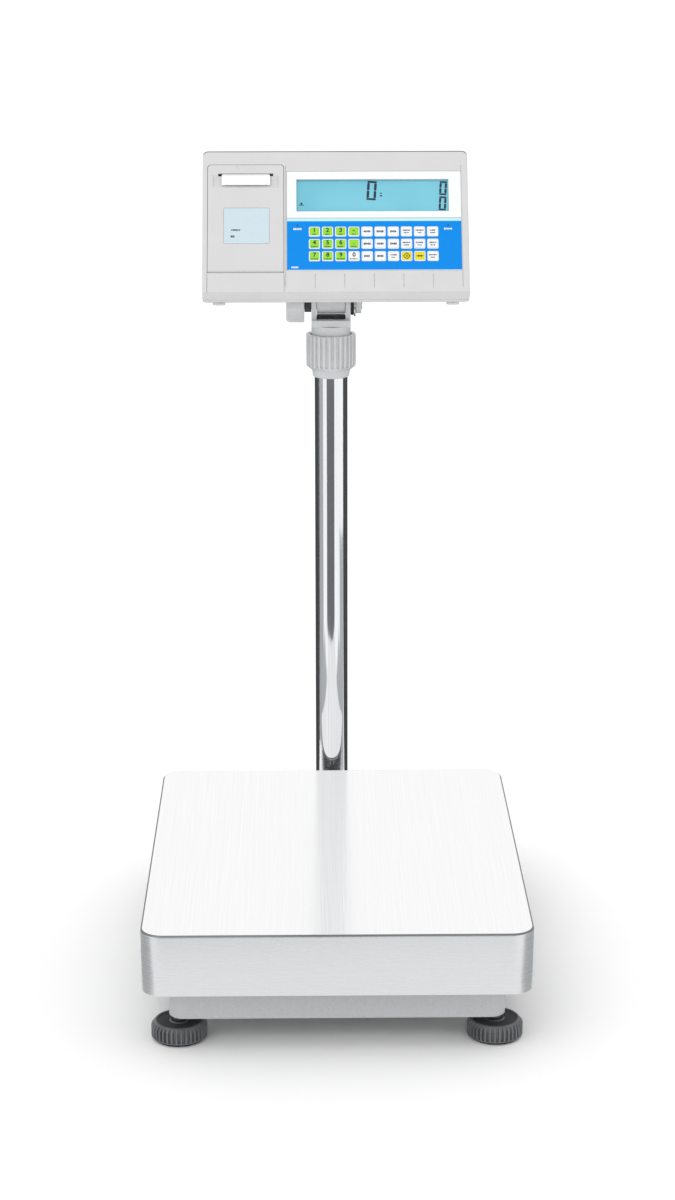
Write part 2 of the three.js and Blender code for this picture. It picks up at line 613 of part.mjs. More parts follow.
function frontShell() {
  const seat = keypad.border;
  const half = keypad.width / 2 + seat;
  const doorLeft = door.x - door.width / 2;
  const doorRight = door.x + door.width / 2;
  const hingeLow = door.hinge - door.barrel - door.gap;
  let shell = headForm(0).subtract(headForm(head.wall)).intersect(slab(-head.bezel, 50));
  const tall = keypad.height / 2 + seat;
  shell = shell.subtract(groove(keypad.x - half, keypad.x + half, -tall, tall, keypad.recess));
  const lcdX = keypad.x + lcd.x;
  shell = shell.subtract(
    groove(lcdX - lcd.width / 2, lcdX + lcd.width / 2, lcd.y - lcd.height / 2, lcd.y + lcd.height / 2, 20),
  );
  const { left, right, top, bottom, width, depth } = panelGroove;
  for (const x of [left, right]) {
    shell = shell.subtract(groove(x - width / 2, x + width / 2, bottom, top, depth));
  }
  const pitch = (right - left) / tab.count;
  for (let i = 1; i < tab.count; i++) {
    const x = left + i * pitch;
    shell = shell.subtract(groove(x - tab.line / 2, x + tab.line / 2, tab.bottom, tab.top, depth));
  }
  const doorHole = raised(roundedRect(door.width, 2 * (door.top - hingeLow), door.corner), 60, -30);
  const lowerHalf = span(doorLeft - 1, doorRight + 1, hingeLow - 400, hingeLow, -40, 40);
  doorHole.translate(door.x, hingeLow, 0);
  shell = shell.subtract(solid(onFace(doorHole)).subtract(solid(onFace(lowerHalf))));
  for (const x of [doorLeft, doorRight]) {
    shell = shell.subtract(groove(x - 0.4, x + 0.4, -head.face / 2 - 1, hingeLow, depth));
  }
  // Bearings for the door's two hinge pins.
  for (const [x0, x1] of [[doorLeft - 5, doorLeft - 0.2], [doorRight + 0.2, doorRight + 5]]) {
    const post = onFace(span(x0, x1, door.hinge - 4, door.hinge + 4, -door.barrel - 4, -1));
    shell = shell.add(solid(post).intersect(headForm(1)));
  }
  const bore = rod(door.pin + fit, door.width + 2 * door.pinLength + 1.4, "x", 12);
  return shell.subtract(solid(onFace(bore.translate(door.x, door.hinge, -door.barrel))));
}

function rearShell() {
  let shell = headForm(0).subtract(headForm(head.wall)).intersect(slab(-400, -head.bezel - fit));
  const notch = span(
    -boss.width / 2 - 2 * fit,
    boss.width / 2 + 2 * fit,
    -boss.web - 2 * fit,
    boss.web + 2 * fit,
    0,
    head.underside + head.wall + 1,
  );
  shell = shell.subtract(solid(notch.translate(-head.shift, 0, 0)));
  const y = head.back;
  const ports = [
    block(port.serialWidth + 2 * fit, 20, port.serialHeight + 2 * fit).translate(portX.serial, y, port.z),
    rod(port.jackRadius + fit, 20, "y", 12).translate(portX.power, y, port.z),
    rod(port.cellRadius + fit, 20, "y", 12).translate(portX.cell, y, port.z),
  ];
  for (const hole of ports) shell = shell.subtract(solid(hole));
  for (const [, x, z] of screwPlaces) {
    const sink = rod(caseScrew.head + fit, 2 * caseScrew.sink, "y", 12).translate(x, y, z);
    const hole = rod(caseScrew.radius + fit, 20, "y", 12).translate(x, y, z);
    shell = shell.subtract(solid(sink)).subtract(solid(hole));
  }
  return shell;
}

const portX = { serial: 40, power: 92, cell: -6 };
const screwPlaces = [
  ["low_left", -caseScrew.spreadX / 2, caseScrew.low],
  ["low_right", caseScrew.spreadX / 2, caseScrew.low],
  ["high_left", -caseScrew.spreadX / 2, caseScrew.high],
  ["high_right", caseScrew.spreadX / 2, caseScrew.high],
];

// The knuckle under the head that the tilt bolt passes through, and the flange that holds it.
function tiltBoss() {
  const inside = head.underside + head.wall + fit;
  const knuckle = rod(boss.radius, boss.width, "x", 24);
  const web = span(-boss.width / 2, boss.width / 2, -boss.web, boss.web, 0, inside + 1);
  const flange = raised(roundedRect(boss.flangeWidth, boss.flangeLength, 5), boss.flange, inside);
  const cross = rod(tiltBolt.radius + fit, boss.width + 2, "x", 12);
  return solid(knuckle).add(solid(web)).add(solid(flange)).subtract(solid(cross));
}

function backPorts(parent) {
  const y0 = head.back - head.wall - port.depth;
  const y1 = head.back + port.reach;
  const lip = head.back + fit;
  const shell = block(port.serialWidth, y1 - y0, port.serialHeight).translate(0, (y0 + y1) / 2, 0);
  const throat = block(
    port.serialWidth - 2 * port.throatInset,
    2 * port.throatDepth,
    port.serialHeight - 4,
  ).translate(0, y1, 0);
  piece("serial_port", solid(shell).subtract(solid(throat)), steel, parent)
    .position.set(portX.serial, 0, port.z);
  for (const [name, radius, bore, x] of [
    ["power_socket", port.jackRadius, port.jackBore, portX.power],
    ["cell_socket", port.cellRadius, port.cellBore, portX.cell],
  ]) {
    const body = rod(radius, y1 - y0, "y", 12).translate(0, (y0 + y1) / 2, 0);
    const rim = rod(radius + 2, port.flange, "y", 12).translate(0, lip + port.flange / 2, 0);
    const hole = rod(bore, 14, "y", 12).translate(0, y1, 0);
    piece(name, solid(body).add(solid(rim)).subtract(solid(hole)), blackPaint, parent)
      .position.set(x, 0, port.z);
  }
}

function headCase(body) {
  piece("front_shell", frontShell(), housing, body);
  piece("rear_shell", rearShell(), housing, body);
  for (const [side, sign] of [["left", -1], ["right", 1]]) {
    const x = sign * (head.width / 2 - strip.inset);
    const y = head.chinIn - head.forward + 2 + strip.length / 2;
    const form = raised(roundedRect(strip.width, strip.length, 5), strip.height);
    form.translate(x, y, head.underside - fit - strip.height);
    piece("head_strip_" + side, form, rubber, body);
  }
  for (const [where, x, z] of screwPlaces) {
    const top = head.back - caseScrew.below;
    const thick = caseScrew.sink - fit - caseScrew.below;
    const cap = rod(caseScrew.head, thick, "y", 12).translate(0, top - thick / 2, 0);
    const shank = rod(caseScrew.radius, caseScrew.length, "y", 12);
    shank.translate(0, top - caseScrew.length / 2, 0);
    const cross = block(5, caseScrew.cross, 2 * caseScrew.crossDepth).translate(0, top, 0);
    const made = solid(cap).add(solid(shank)).subtract(solid(cross));
    piece("case_screw_" + where, made, steel, body).position.set(x, 0, z);
  }
  backPorts(body);
  const cellBox = block(battery.width, battery.length, battery.height);
  const floor = head.underside + head.wall + fit + battery.height / 2;
  piece("battery_pack", cellBox.translate(battery.x, battery.y, floor), darkPlastic, body);
}

// What lies behind or on the face: x across it, y up it and z out of it.
function facePieces(face) {
  const lcdX = keypad.x + lcd.x;
  const film = solid(block(keypad.width, keypad.height, keypad.sheet));
  const window = solid(block(lcd.width, lcd.height, 10).translate(lcd.x, lcd.y, 0));
  piece("keypad_membrane", film.subtract(window), membraneFilm, face)
    .position.set(keypad.x, 0, keypad.sheet / 2 - keypad.recess + 0.2);
  const module = block(lcd.width + 2 * lcd.marginX, lcd.height + 2 * lcd.marginY, lcd.module);
  piece("lcd_module", module, displayGlass, face)
    .position.set(lcdX, lcd.y, -head.wall - fit - lcd.module / 2);
  piece("main_board", block(board.width, board.height, board.sheet), boardGreen, face)
    .position.set(keypad.x, 2, -board.depth);
}

// ---------- label printer ----------

function printerDoor() {
  const width = door.width - 2 * door.gap;
  const top = door.top - door.gap;
  const centre = -door.barrel; // the hinge axis lies this deep, so the barrel meets the face
  const upper = raised(roundedRect(width, 2 * (top - door.hinge), door.corner), door.sheet, -door.sheet);
  const below = span(-width, width, -400, 0, -20, 20);
  let made = solid(upper).subtract(solid(below));
  made = made.add(solid(rod(door.barrel, width, "x", 24).translate(0, 0, centre)));
  const pins = rod(door.pin, width + 2 * door.gap + 2 * door.pinLength, "x", 12);
  made = made.add(solid(pins.translate(0, 0, centre)));
  for (const side of [-1, 1]) {
    const x = side * (width / 2 - door.ribInset);
    const rib = span(x - 0.9, x + 0.9, 12, top - door.hinge - 12, -door.rib, -1);
    made = made.add(solid(rib));
  }
  const slotY = slot.y - door.hinge;
  made = made.subtract(solid(block(slotWidth, slot.height, 20).translate(0, slotY, 0)));
  const scoop = rod(slot.scoopRadius, slotWidth + 2 * slot.scoopRoom, "x", 48);
  const out = slot.scoopRadius - slot.scoopDepth;
  made = made.subtract(solid(scoop.translate(0, slot.scoopY - door.hinge, out)));
  const inset = raised(roundedRect(labelWidth + 1, doorLabel.height + 1, 1.5), 5, -doorLabel.recess);
  made = made.subtract(solid(inset.translate(doorLabel.x, doorLabel.y - door.hinge, 0)));
  const grip = rod(9, 20, "x", 24).translate(0, top - door.hinge - 3.4, 8.3);
  return made.subtract(solid(grip));
}

// A strip of label paper: out through the slot, then curling down over the scoop.
function labelStrip() {
  const bend = new THREE.CubicBezierCurve(
    new THREE.Vector2(slot.y - 0.6, -2.2),
    new THREE.Vector2(slot.y + 0.4, 2.6),
    new THREE.Vector2(slot.y - 3.6, 2.6),
    new THREE.Vector2(paper.end, 1.3),
  );
  const edge = (side) =>
    bend.getPoints(10).map((p, i) => {
      const t = bend.getTangent(i / 10);
      return [p.x - (side * t.y * paper.sheet) / 2 - door.hinge, p.y + (side * t.x * paper.sheet) / 2];
    });
  const outline = [...edge(1), ...edge(-1).reverse()].reverse();
  return alongX(polygon(outline), paper.x - paperWidth / 2, paper.x + paperWidth / 2);
}

function gearForm(teeth) {
  const pitchRadius = (gear.module * teeth) / 2;
  const step = (2 * Math.PI) / teeth;
  const [tip, root] = [pitchRadius + 0.75 * gear.module, pitchRadius - 1.15 * gear.module];
  const points = [];
  for (let i = 0; i < teeth; i++) {
    for (const [share, r] of [[-0.3, root], [-0.1, tip], [0.1, tip], [0.3, root]]) {
      points.push([r * Math.cos((i + share) * step), r * Math.sin((i + share) * step)]);
    }
  }
  return alongX(polygon(points), -gear.width / 2, gear.width / 2);
}

// The moulded bay behind the door: deep where the label roll lies, shallow behind the print head.
function printerCradle() {
  const half = cradleWidth / 2;
  const profile = (wall, mouth) =>
    polygon([
      [cradle.bottom + wall, mouth],
      [cradle.bottom + wall, wall - cradle.deep],
      [cradle.step - wall, wall - cradle.deep],
      [cradle.step - wall, wall - cradle.shallow],
      [cradle.top - wall, wall - cradle.shallow],
      [cradle.top - wall, mouth],
    ]);
  const outer = solid(alongX(profile(0, -cradle.front), -half, half));
  const inner = solid(alongX(profile(cradle.wall, 5), cradle.wall - half, half - cradle.wall));
  const seat = roll.spindleEnd + fit;
  const notch = span(-half - 1, half + 1, roll.y - seat, roll.y + seat, -roll.depth, 5);
  const rest = rod(seat, 2 * half + 2, "x", 12).translate(0, roll.y, -roll.depth);
  return outer.subtract(inner).subtract(solid(notch)).subtract(solid(rest));
}

const motorY = platen.y - gear.motorDrop;
const gearReach = (gear.module * (gear.platenTeeth + gear.motorTeeth)) / 2;
const motorDepth = platen.depth + Math.sqrt(gearReach ** 2 - gear.motorDrop ** 2);
const gearX = -chassisWidth / 2 - gear.width / 2 - 2;

// The print head's frame: two side plates, a back and the heating bar in front of the platen.
function printChassis() {
  const half = chassisWidth / 2;
  const { sheet, bottom, top, front, back } = chassis;
  let made = solid(span(-half, half, bottom, top, -back, sheet - back));
  for (const x of [-half, half - sheet]) {
    made = made.add(solid(span(x, x + sheet, bottom, top, -back, -front)));
  }
  const bar = span(-half + 1, half - 1, bottom, platen.y + 2, platen.radius + 0.4 - platen.depth, -front);
  made = made.add(solid(bar));
  const platenBore = rod(platen.shaft + fit, chassisWidth + 2, "x", 12);
  const motorBore = rod(motor.shaft + fit, 3 * sheet, "x", 12);
  return made
    .subtract(solid(platenBore.translate(0, platen.y, -platen.depth)))
    .subtract(solid(motorBore.translate(-half, motorY, -motorDepth)));
}

function printer(face) {
  const hinge = new THREE.Group();
  hinge.position.set(door.x, door.hinge, 0);
  face.add(hinge);
  piece("printer_door", printerDoor(), housing, hinge);
  piece("door_label", block(labelWidth, doorLabel.height, doorLabel.sheet), labelBlue, hinge)
    .position.set(doorLabel.x, doorLabel.y - door.hinge, doorLabel.sheet / 2 - doorLabel.recess + 0.2);
  piece("label_strip", labelStrip(), paperWhite, hinge);

  const bay = new THREE.Group();
  bay.position.x = door.x;
  face.add(bay);
  piece("printer_cradle", printerCradle(), greyPlastic, bay);
  piece("print_chassis", printChassis(), steel, bay);
  const sleeve = solid(rod(platen.radius, platenLength, "x", 24));
  const core = solid(rod(platen.shaft + fit, platenLength + 2, "x", 12));
  piece("platen_roller", sleeve.subtract(core), rubber, bay).position.set(0, platen.y, -platen.depth);
  const shaftEnd = chassisWidth / 2 + 1;
  const shaftStart = gearX - gear.width / 2;
  const shaft = rod(platen.shaft, shaftEnd - shaftStart, "x", 12);
  shaft.translate((shaftEnd + shaftStart) / 2, 0, 0);
  const wheel = solid(gearForm(gear.platenTeeth).translate(gearX, 0, 0));
  piece("platen_shaft", solid(shaft).add(wheel), steel, bay).position.set(0, platen.y, -platen.depth);

  const inner = chassis.sheet - chassisWidth / 2 + fit;
  const can = solid(rod(motor.radius, motor.length, "x", 28).translate(inner + motor.length / 2, 0, 0));
  const hole = solid(rod(motor.shaft + fit, 12, "x", 12).translate(inner, 0, 0));
  piece("print_motor", can.subtract(hole), steel, bay).position.set(0, motorY, -motorDepth);
  const pinionEnd = inner + 4;
  const pinionShaft = rod(motor.shaft, pinionEnd - gearX, "x", 12).translate((pinionEnd + gearX) / 2, 0, 0);
  // A tooth of one gear stands in a gap of the other on the line between their axes.
  const line = Math.atan2(motorDepth - platen.depth, gear.motorDrop);
  const pinion = gearForm(gear.motorTeeth).rotateX(pinionTurn(line)).translate(gearX, 0, 0);
  piece("motor_gear", solid(pinion).add(solid(pinionShaft)), greyPlastic, bay)
    .position.set(0, motorY, -motorDepth);

  const paperRoll = solid(rod(roll.radius, rollWidth, "x", 32));
  const tube = solid(rod(roll.core + fit, rollWidth + 2, "x"));
  piece("label_roll", paperRoll.subtract(tube), paperWhite, bay).position.set(0, roll.y, -roll.depth);
  const spindle = solid(rod(roll.core, rollWidth + 2 * roll.lip, "x"));
  const ends = solid(rod(roll.spindleEnd, cradleWidth - 1, "x", 12));
  piece("roll_spindle", spindle.add(ends), greyPlastic, bay).position.set(0, roll.y, -roll.depth);
}

// How far the pinion turns so that its gap faces a tooth of the platen gear. The angles are of
// the line from one axis to the other, measured from +Y towards +Z in the face's own frame.
function pinionTurn(line) {
  const fromPlaten = Math.PI + line; // the pinion lies this way from the platen
  const platenPhase = (fromPlaten * gear.platenTeeth) / (2 * Math.PI);
  const offset = platenPhase - Math.floor(platenPhase);
  const fromPinion = line;
  const pinionStep = (2 * Math.PI) / gear.motorTeeth;
  return fromPinion + (0.5 + offset) * pinionStep;
}

platform();
const tilt = column();
piece("tilt_boss", tiltBoss(), greyPlastic, tilt);
const body = new THREE.Group();
body.position.x = head.shift;
tilt.add(body);
headCase(body);
const face = new THREE.Group();
face.position.set(0, faceMid[0], faceMid[1]);
face.rotation.x = Math.PI / 2 - lean;
body.add(face);
facePieces(face);
printer(face);

export default scale;
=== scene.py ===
import json
import math
import random
import bpy
from mathutils import Matrix, Vector


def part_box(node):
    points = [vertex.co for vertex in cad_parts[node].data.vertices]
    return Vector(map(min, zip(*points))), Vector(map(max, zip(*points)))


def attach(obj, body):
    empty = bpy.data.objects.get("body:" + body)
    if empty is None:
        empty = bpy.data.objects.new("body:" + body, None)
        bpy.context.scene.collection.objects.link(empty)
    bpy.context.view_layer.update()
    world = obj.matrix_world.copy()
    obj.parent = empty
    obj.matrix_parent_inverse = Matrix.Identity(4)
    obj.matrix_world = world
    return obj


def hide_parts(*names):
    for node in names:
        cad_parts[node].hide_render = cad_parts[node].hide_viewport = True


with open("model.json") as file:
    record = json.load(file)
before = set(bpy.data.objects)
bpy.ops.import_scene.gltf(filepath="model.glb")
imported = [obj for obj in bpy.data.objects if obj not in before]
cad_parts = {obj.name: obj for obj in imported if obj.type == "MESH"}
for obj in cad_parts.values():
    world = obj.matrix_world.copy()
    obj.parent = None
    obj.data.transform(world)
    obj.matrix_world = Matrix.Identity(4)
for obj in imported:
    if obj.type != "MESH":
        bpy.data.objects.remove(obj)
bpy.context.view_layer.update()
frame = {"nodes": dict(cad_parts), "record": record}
mm = 0.001
record = frame["record"]
bodyOf = {node: body for body, nodes in record["behaviour"]["bodies"].items() for node in nodes}
slotOf = {part["node"]: part["material_slot"] for part in record["subparts"]}
print("frame loaded")


# Makes a piece the only one selected, and the active one.
def work(piece):
    bpy.ops.object.select_all(action="DESELECT")
    piece.select_set(True)
    bpy.context.view_layer.objects.active = piece


def clearPicks(mesh):
    for parts in (mesh.vertices, mesh.edges, mesh.polygons):
        parts.foreach_set("select", [False] * len(parts))


# An edge's middle and its direction.
def edgeSpot(mesh, edge):
    start, end = (mesh.vertices[i].co for i in edge.vertices)
    return (start + end) / 2, (end - start).normalized()


def pick(piece, kind, test):
    mesh = piece.data
    clearPicks(mesh)
    if kind == "VERT":
        for vertex in mesh.vertices:
            vertex.select = test(vertex.co)
    if kind == "EDGE":
        for edge in mesh.edges:
            edge.select = test(*edgeSpot(mesh, edge))
    if kind == "FACE":
        for face in mesh.polygons:
            face.select = test(face.center, face.normal)


# Selects the vertices, edges or faces that the test accepts, then runs the steps in edit mode.
# Without a test, it works on what is selected already.
def edit(piece, kind, test, *steps):
    work(piece)
    bpy.context.tool_settings.mesh_select_mode = [kind == k for k in ("VERT", "EDGE", "FACE")]
    if test:
        pick(piece, kind, test)
    bpy.ops.object.mode_set(mode="EDIT")
    for step in steps:
        step()
    bpy.ops.object.mode_set(mode="OBJECT")


def everything(*_):
    return True


def nothing(*_):
    return False


def isUpright(middle, way):
    return abs(way.z) > 0.9


def faceOut(piece):
    edit(piece, "FACE", everything, lambda: bpy.ops.mesh.normals_make_consistent(inside=False))


def bevelBy(width, segments=3, clamp=True):
    return lambda: bpy.ops.mesh.bevel(
        offset=width * mm, segments=segments, affect="EDGES", clamp_overlap=clamp
    )


def growBy(value, centre):
    return lambda: bpy.ops.transform.resize(value=value, center_override=centre)


def applyPlace(piece):
    work(piece)
    bpy.ops.object.transform_apply(location=True, rotation=True, scale=True)


def moveBy(piece, matrix):
    piece.matrix_world = matrix @ piece.matrix_world
    applyPlace(piece)
    return piece


def modify(piece, kind, **settings):
    work(piece)
    modifier = piece.modifiers.new(kind.lower(), kind)
    for key, value in settings.items():
        setattr(modifier, key, value)
    bpy.ops.object.modifier_apply(modifier=modifier.name)


# A box between two corners, in metres.
def block(name, low, high):
    low, high = Vector(low), Vector(high)
    bpy.ops.mesh.primitive_cube_add(size=1, location=(low + high) / 2, scale=high - low)
    piece = bpy.context.object
    piece.name = name
    applyPlace(piece)
    return piece


# A disc about Z, extruded and resized from one (radius, height) to the next, in mm.
def turned(name, rings, sides=96, through=False):
    radius, height = rings[0]
    bpy.ops.mesh.primitive_circle_add(
        vertices=sides, radius=radius * mm, fill_type="NGON", location=(0, 0, height * mm)
    )
    piece = bpy.context.object
    piece.name = name
    applyPlace(piece)
    bpy.context.tool_settings.mesh_select_mode = (False, False, True)
    bpy.ops.object.mode_set(mode="EDIT")
    bpy.ops.mesh.select_all(action="SELECT")
    for nextRadius, nextHeight in rings[1:]:
        rise = (nextHeight - height) * mm
        bpy.ops.mesh.extrude_region_move(TRANSFORM_OT_translate={"value": (0, 0, rise)})
        factor = nextRadius / radius
        growBy((factor, factor, 1), (0, 0, nextHeight * mm))()
        radius, height = nextRadius, nextHeight
    bpy.ops.object.mode_set(mode="OBJECT")
    if through:
        clearPicks(piece.data)
        for face in piece.data.polygons:
            face.select = len(face.vertices) == sides
        edit(piece, "FACE", None, lambda: bpy.ops.mesh.bridge_edge_loops())
    faceOut(piece)
    return piece


# Pulls the columns of vertices in each groove towards the Z axis, by a share of their radius.
def flute(piece, count, columns, groove, share, test):
    step = 2 * math.pi / (count * columns)

    def inGroove(co):
        column = round(math.atan2(co.y, co.x) / step) % columns
        return column < groove and test(co)

    edit(piece, "VERT", inGroove, growBy((1 - share, 1 - share, 1), (0, 0, 0)))


def joined(name, *pieces):
    bpy.ops.object.select_all(action="DESELECT")
    for piece in pieces:
        piece.select_set(True)
    bpy.context.view_layer.objects.active = pieces[0]
    if len(pieces) > 1:
        bpy.ops.object.join()
    pieces[0].name = name
    return pieces[0]


def copyOf(piece, name):
    twin = piece.copy()
    twin.data = piece.data.copy()
    twin.name = name
    bpy.context.collection.objects.link(twin)
    return twin


def smooth(piece, angle=32):
    work(piece)
    bpy.ops.object.shade_smooth_by_angle(angle=math.radians(angle))
    modify(piece, "WEIGHTED_NORMAL", keep_sharp=True, weight=80)


# Puts the given materials on a mesh in place of its own. With none given it keeps its own.
def dress(mesh, materials):
    if materials:
        mesh.materials.clear()
    for material in materials:
        mesh.materials.append(material)


# Gives a finished piece its finish and the body of the CAD node it stands for, and hides that node.
def standFor(piece, node, *materials):
    dress(piece.data, materials)
    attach(piece, bodyOf[node])
    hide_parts(node)
    return piece


# A trim piece that no CAD node stands for: it rides with a node's body.
def addTrim(piece, node, slot, *materials):
    dress(piece.data, materials)
    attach(piece, bodyOf[node])
    return piece


sharpBend = math.radians(38)  # between two faces, past which the edge they share is broken


# Bevels the sharp edges that the test accepts. Unclamped, short edges don't hold its width back.
def breakEdges(piece, width, segments, test, clamp=True):
    findSharp = lambda: bpy.ops.mesh.edges_select_sharp(sharpness=sharpBend)
    edit(piece, "EDGE", nothing, findSharp)
    mesh = piece.data
    sharp = [edge for edge in mesh.edges if edge.select and test(*edgeSpot(mesh, edge))]
    chosen = [edge.index for edge in sharp]
    clearPicks(mesh)
    for i in chosen:
        mesh.edges[i].select = True
    if chosen:
        edit(piece, "EDGE", None, bevelBy(width, segments, clamp))


# A copy of a CAD node with whole faces in place of loose triangles, and its sharp edges broken.
def refined(node, *breaks):
    piece = copyOf(frame["nodes"][node], node + "_fine")
    piece.parent = None
    piece.matrix_world = Matrix.Identity(4)
    edit(
        piece,
        "FACE",
        everything,
        lambda: bpy.ops.mesh.remove_doubles(threshold=0.004 * mm),
        lambda: bpy.ops.mesh.dissolve_limited(angle_limit=math.radians(0.8)),
    )
    for width, segments, test in breaks:
        breakEdges(piece, width, segments, test)
    smooth(piece)
    return piece


def toLinear(hexColour):
    parts = [int(hexColour[i : i + 2], 16) / 255 for i in (1, 3, 5)]
    return [p / 12.92 if p <= 0.04045 else ((p + 0.055) / 1.055) ** 2.4 for p in parts] + [1]


def addNode(tree, kind, settings, links=()):
    node = tree.nodes.new(kind)
    for key, value in settings.items():
        if hasattr(node, key):
            setattr(node, key, value)
        else:
            node.inputs[key].default_value = value
    for socket, source in dict(links).items():
        tree.links.new(source, node.inputs[socket])
    return node


def newMaterial(name, colour, metallic, roughness, **more):
    material = bpy.data.materials.new(name)
    material.use_nodes = True
    shader = material.node_tree.nodes["Principled BSDF"]
    shader.inputs["Base Color"].default_value = toLinear(colour)
    shader.inputs["Metallic"].default_value = metallic
    shader.inputs["Roughness"].default_value = roughness
    for key, value in more.items():
        shader.inputs[key.replace("_", " ")].default_value = value
    return material, material.node_tree, shader


# Noise in object space, told by the size of its grain in mm along X, Y and Z.
def grain(tree, sizes, detail=3):
    coordinates = addNode(tree, "ShaderNodeTexCoord", {})
    scale = [1 / (size * mm) for size in sizes]
    mapping = addNode(
        tree, "ShaderNodeMapping", {"Scale": scale}, {"Vector": coordinates.outputs["Object"]}
    )
    noise = addNode(
        tree,
        "ShaderNodeTexNoise",
        {"Scale": 1.0, "Detail": detail, "Roughness": 0.6},
        {"Vector": mapping.outputs["Vector"]},
    )
    return noise.outputs["Fac"]


def spread(tree, source, low, high):
    return addNode(
        tree,
        "ShaderNodeMapRange",
        {"From Min": 0.3, "From Max": 0.7, "To Min": low, "To Max": high},
        {"Value": source},
    ).outputs["Result"]


def tint(tree, source, dark, light):
    ramp = addNode(tree, "ShaderNodeValToRGB", {}, {"Fac": source})
    for element, position, colour in zip(ramp.color_ramp.elements, (0.3, 0.7), (dark, light)):
        element.position = position
        element.color = toLinear(colour)
    return ramp.outputs["Color"]


def relief(tree, shader, source, strength, height):
    bump = addNode(
        tree, "ShaderNodeBump", {"Strength": strength, "Distance": height * mm}, {"Height": source}
    )
    tree.links.new(bump.outputs["Normal"], shader.inputs["Normal"])


# Stainless sheet, belt brushed: long shallow scratches that all run one way and spread the light.
# The scratches are drawn about three times as wide as real ones, so that they show.
def brushedStainless(name, run, dark, light, roughness):
    material, tree, shader = newMaterial(name, light, 1, roughness)
    lines = grain(tree, run, 5)
    tree.links.new(tint(tree, lines, dark, light), shader.inputs["Base Color"])
    tree.links.new(spread(tree, lines, roughness, roughness + 0.1), shader.inputs["Roughness"])
    relief(tree, shader, lines, 0.2, 0.02)
    return material


# Bright chrome plate on a drawn tube: a mirror with a faint lengthwise draw.
def chromePlate():
    material, tree, shader = newMaterial("chromePlate", "#E9EAEC", 1, 0.06)
    draw = grain(tree, (1.2, 1.2, 120), 2)
    tree.links.new(spread(tree, draw, 0.04, 0.1), shader.inputs["Roughness"])
    tree.links.new(tint(tree, draw, "#E2E4E6", "#EFF0F1"), shader.inputs["Base Color"])
    return material


# Silver-grey stove enamel: a fine metallic fleck in a slight orange peel.
def stoveEnamel():
    material, tree, shader = newMaterial("stoveEnamel", "#BEC0C1", 0.25, 0.42)
    fleck = grain(tree, (0.7, 0.7, 0.7), 2)
    tree.links.new(tint(tree, fleck, "#B2B4B5", "#CACCCD"), shader.inputs["Base Color"])
    relief(tree, shader, grain(tree, (2.5, 2.5, 2.5), 2), 0.2, 0.05)
    return material


# Satin powder coat: fine even pebbles that break up the gloss.
def powderCoat():
    material, tree, shader = newMaterial("powderCoat", "#2C2D30", 0, 0.45)
    pebbles = grain(tree, (0.9, 0.9, 0.9))
    tree.links.new(tint(tree, pebbles, "#222326", "#37383B"), shader.inputs["Base Color"])
    relief(tree, shader, pebbles, 0.5, 0.08)
    return material


# Zinc-plated steel: bright and slightly cloudy.
def zincPlate():
    material, tree, shader = newMaterial("zincPlate", "#C4C7CA", 1, 0.3)
    cloud = grain(tree, (6, 6, 6), 4)
    tree.links.new(tint(tree, cloud, "#B3B6B9", "#D2D4D6"), shader.inputs["Base Color"])
    tree.links.new(spread(tree, cloud, 0.24, 0.4), shader.inputs["Roughness"])
    return material


# Milled aluminium, clear anodised: fine cutter lines across the bar.
def anodisedAluminium():
    material, tree, shader = newMaterial("anodisedAluminium", "#C8CACC", 1, 0.35)
    lines = grain(tree, (40, 0.6, 40), 2)
    tree.links.new(spread(tree, lines, 0.28, 0.45), shader.inputs["Roughness"])
    relief(tree, shader, lines, 0.3, 0.02)
    return material


# Injection-moulded plastic: spark-eroded grain, and a faint unevenness in its colour.
def mouldedPlastic(name, dark, light, roughness=0.48, grainSize=0.9):
    material, tree, shader = newMaterial(name, light, 0, roughness, IOR=1.53)
    spark = grain(tree, (grainSize,) * 3, 4)
    cloud = grain(tree, (35, 35, 35), 2)
    tree.links.new(tint(tree, cloud, dark, light), shader.inputs["Base Color"])
    rough = spread(tree, spark, roughness - 0.06, roughness + 0.08)
    tree.links.new(rough, shader.inputs["Roughness"])
    relief(tree, shader, spark, 0.25, 0.05)
    return material


# Moulded nitrile rubber: matt and dusty.
def mattRubber():
    material, tree, shader = newMaterial("mattRubber", "#232325", 0, 0.85, IOR=1.52)
    dust = grain(tree, (3, 3, 3), 4)
    tree.links.new(tint(tree, dust, "#1E1E20", "#303033"), shader.inputs["Base Color"])
    relief(tree, shader, dust, 0.3, 0.05)
    return material


# Polyester film printed on its back: even ink under a fine satin front.
def printedFilm(name, dark, light):
    material, tree, shader = newMaterial(name, light, 0, 0.4, IOR=1.58, Specular_IOR_Level=0.1)
    satin = grain(tree, (1.1, 1.1, 1.1))
    tree.links.new(tint(tree, satin, dark, light), shader.inputs["Base Color"])
    relief(tree, shader, satin, 0.12, 0.02)
    return material


# Backlit liquid-crystal glass: an even pale glow behind a glossy front.
def crystalGlass():
    settings = {"IOR": 1.5, "Emission_Color": toLinear("#7FD0E4"), "Emission_Strength": 0.12}
    material, tree, shader = newMaterial("crystalGlass", "#6AB5C7", 0, 0.16, **settings)
    glow = grain(tree, (60, 60, 60), 1)
    tree.links.new(tint(tree, glow, "#65B0C3", "#71BBCC"), shader.inputs["Base Color"])
    relief(tree, shader, grain(tree, (2.2, 2.2, 2.2), 1), 0.05, 0.01)
    return material


# Screen-printed ink: opaque and a little uneven in its sheen.
def screenInk(name, colour):
    material, tree, shader = newMaterial(name, colour, 0, 0.5, IOR=1.5)
    speckle = grain(tree, (0.4, 0.4, 0.4), 2)
    tree.links.new(spread(tree, speckle, 0.42, 0.58), shader.inputs["Roughness"])
    return material


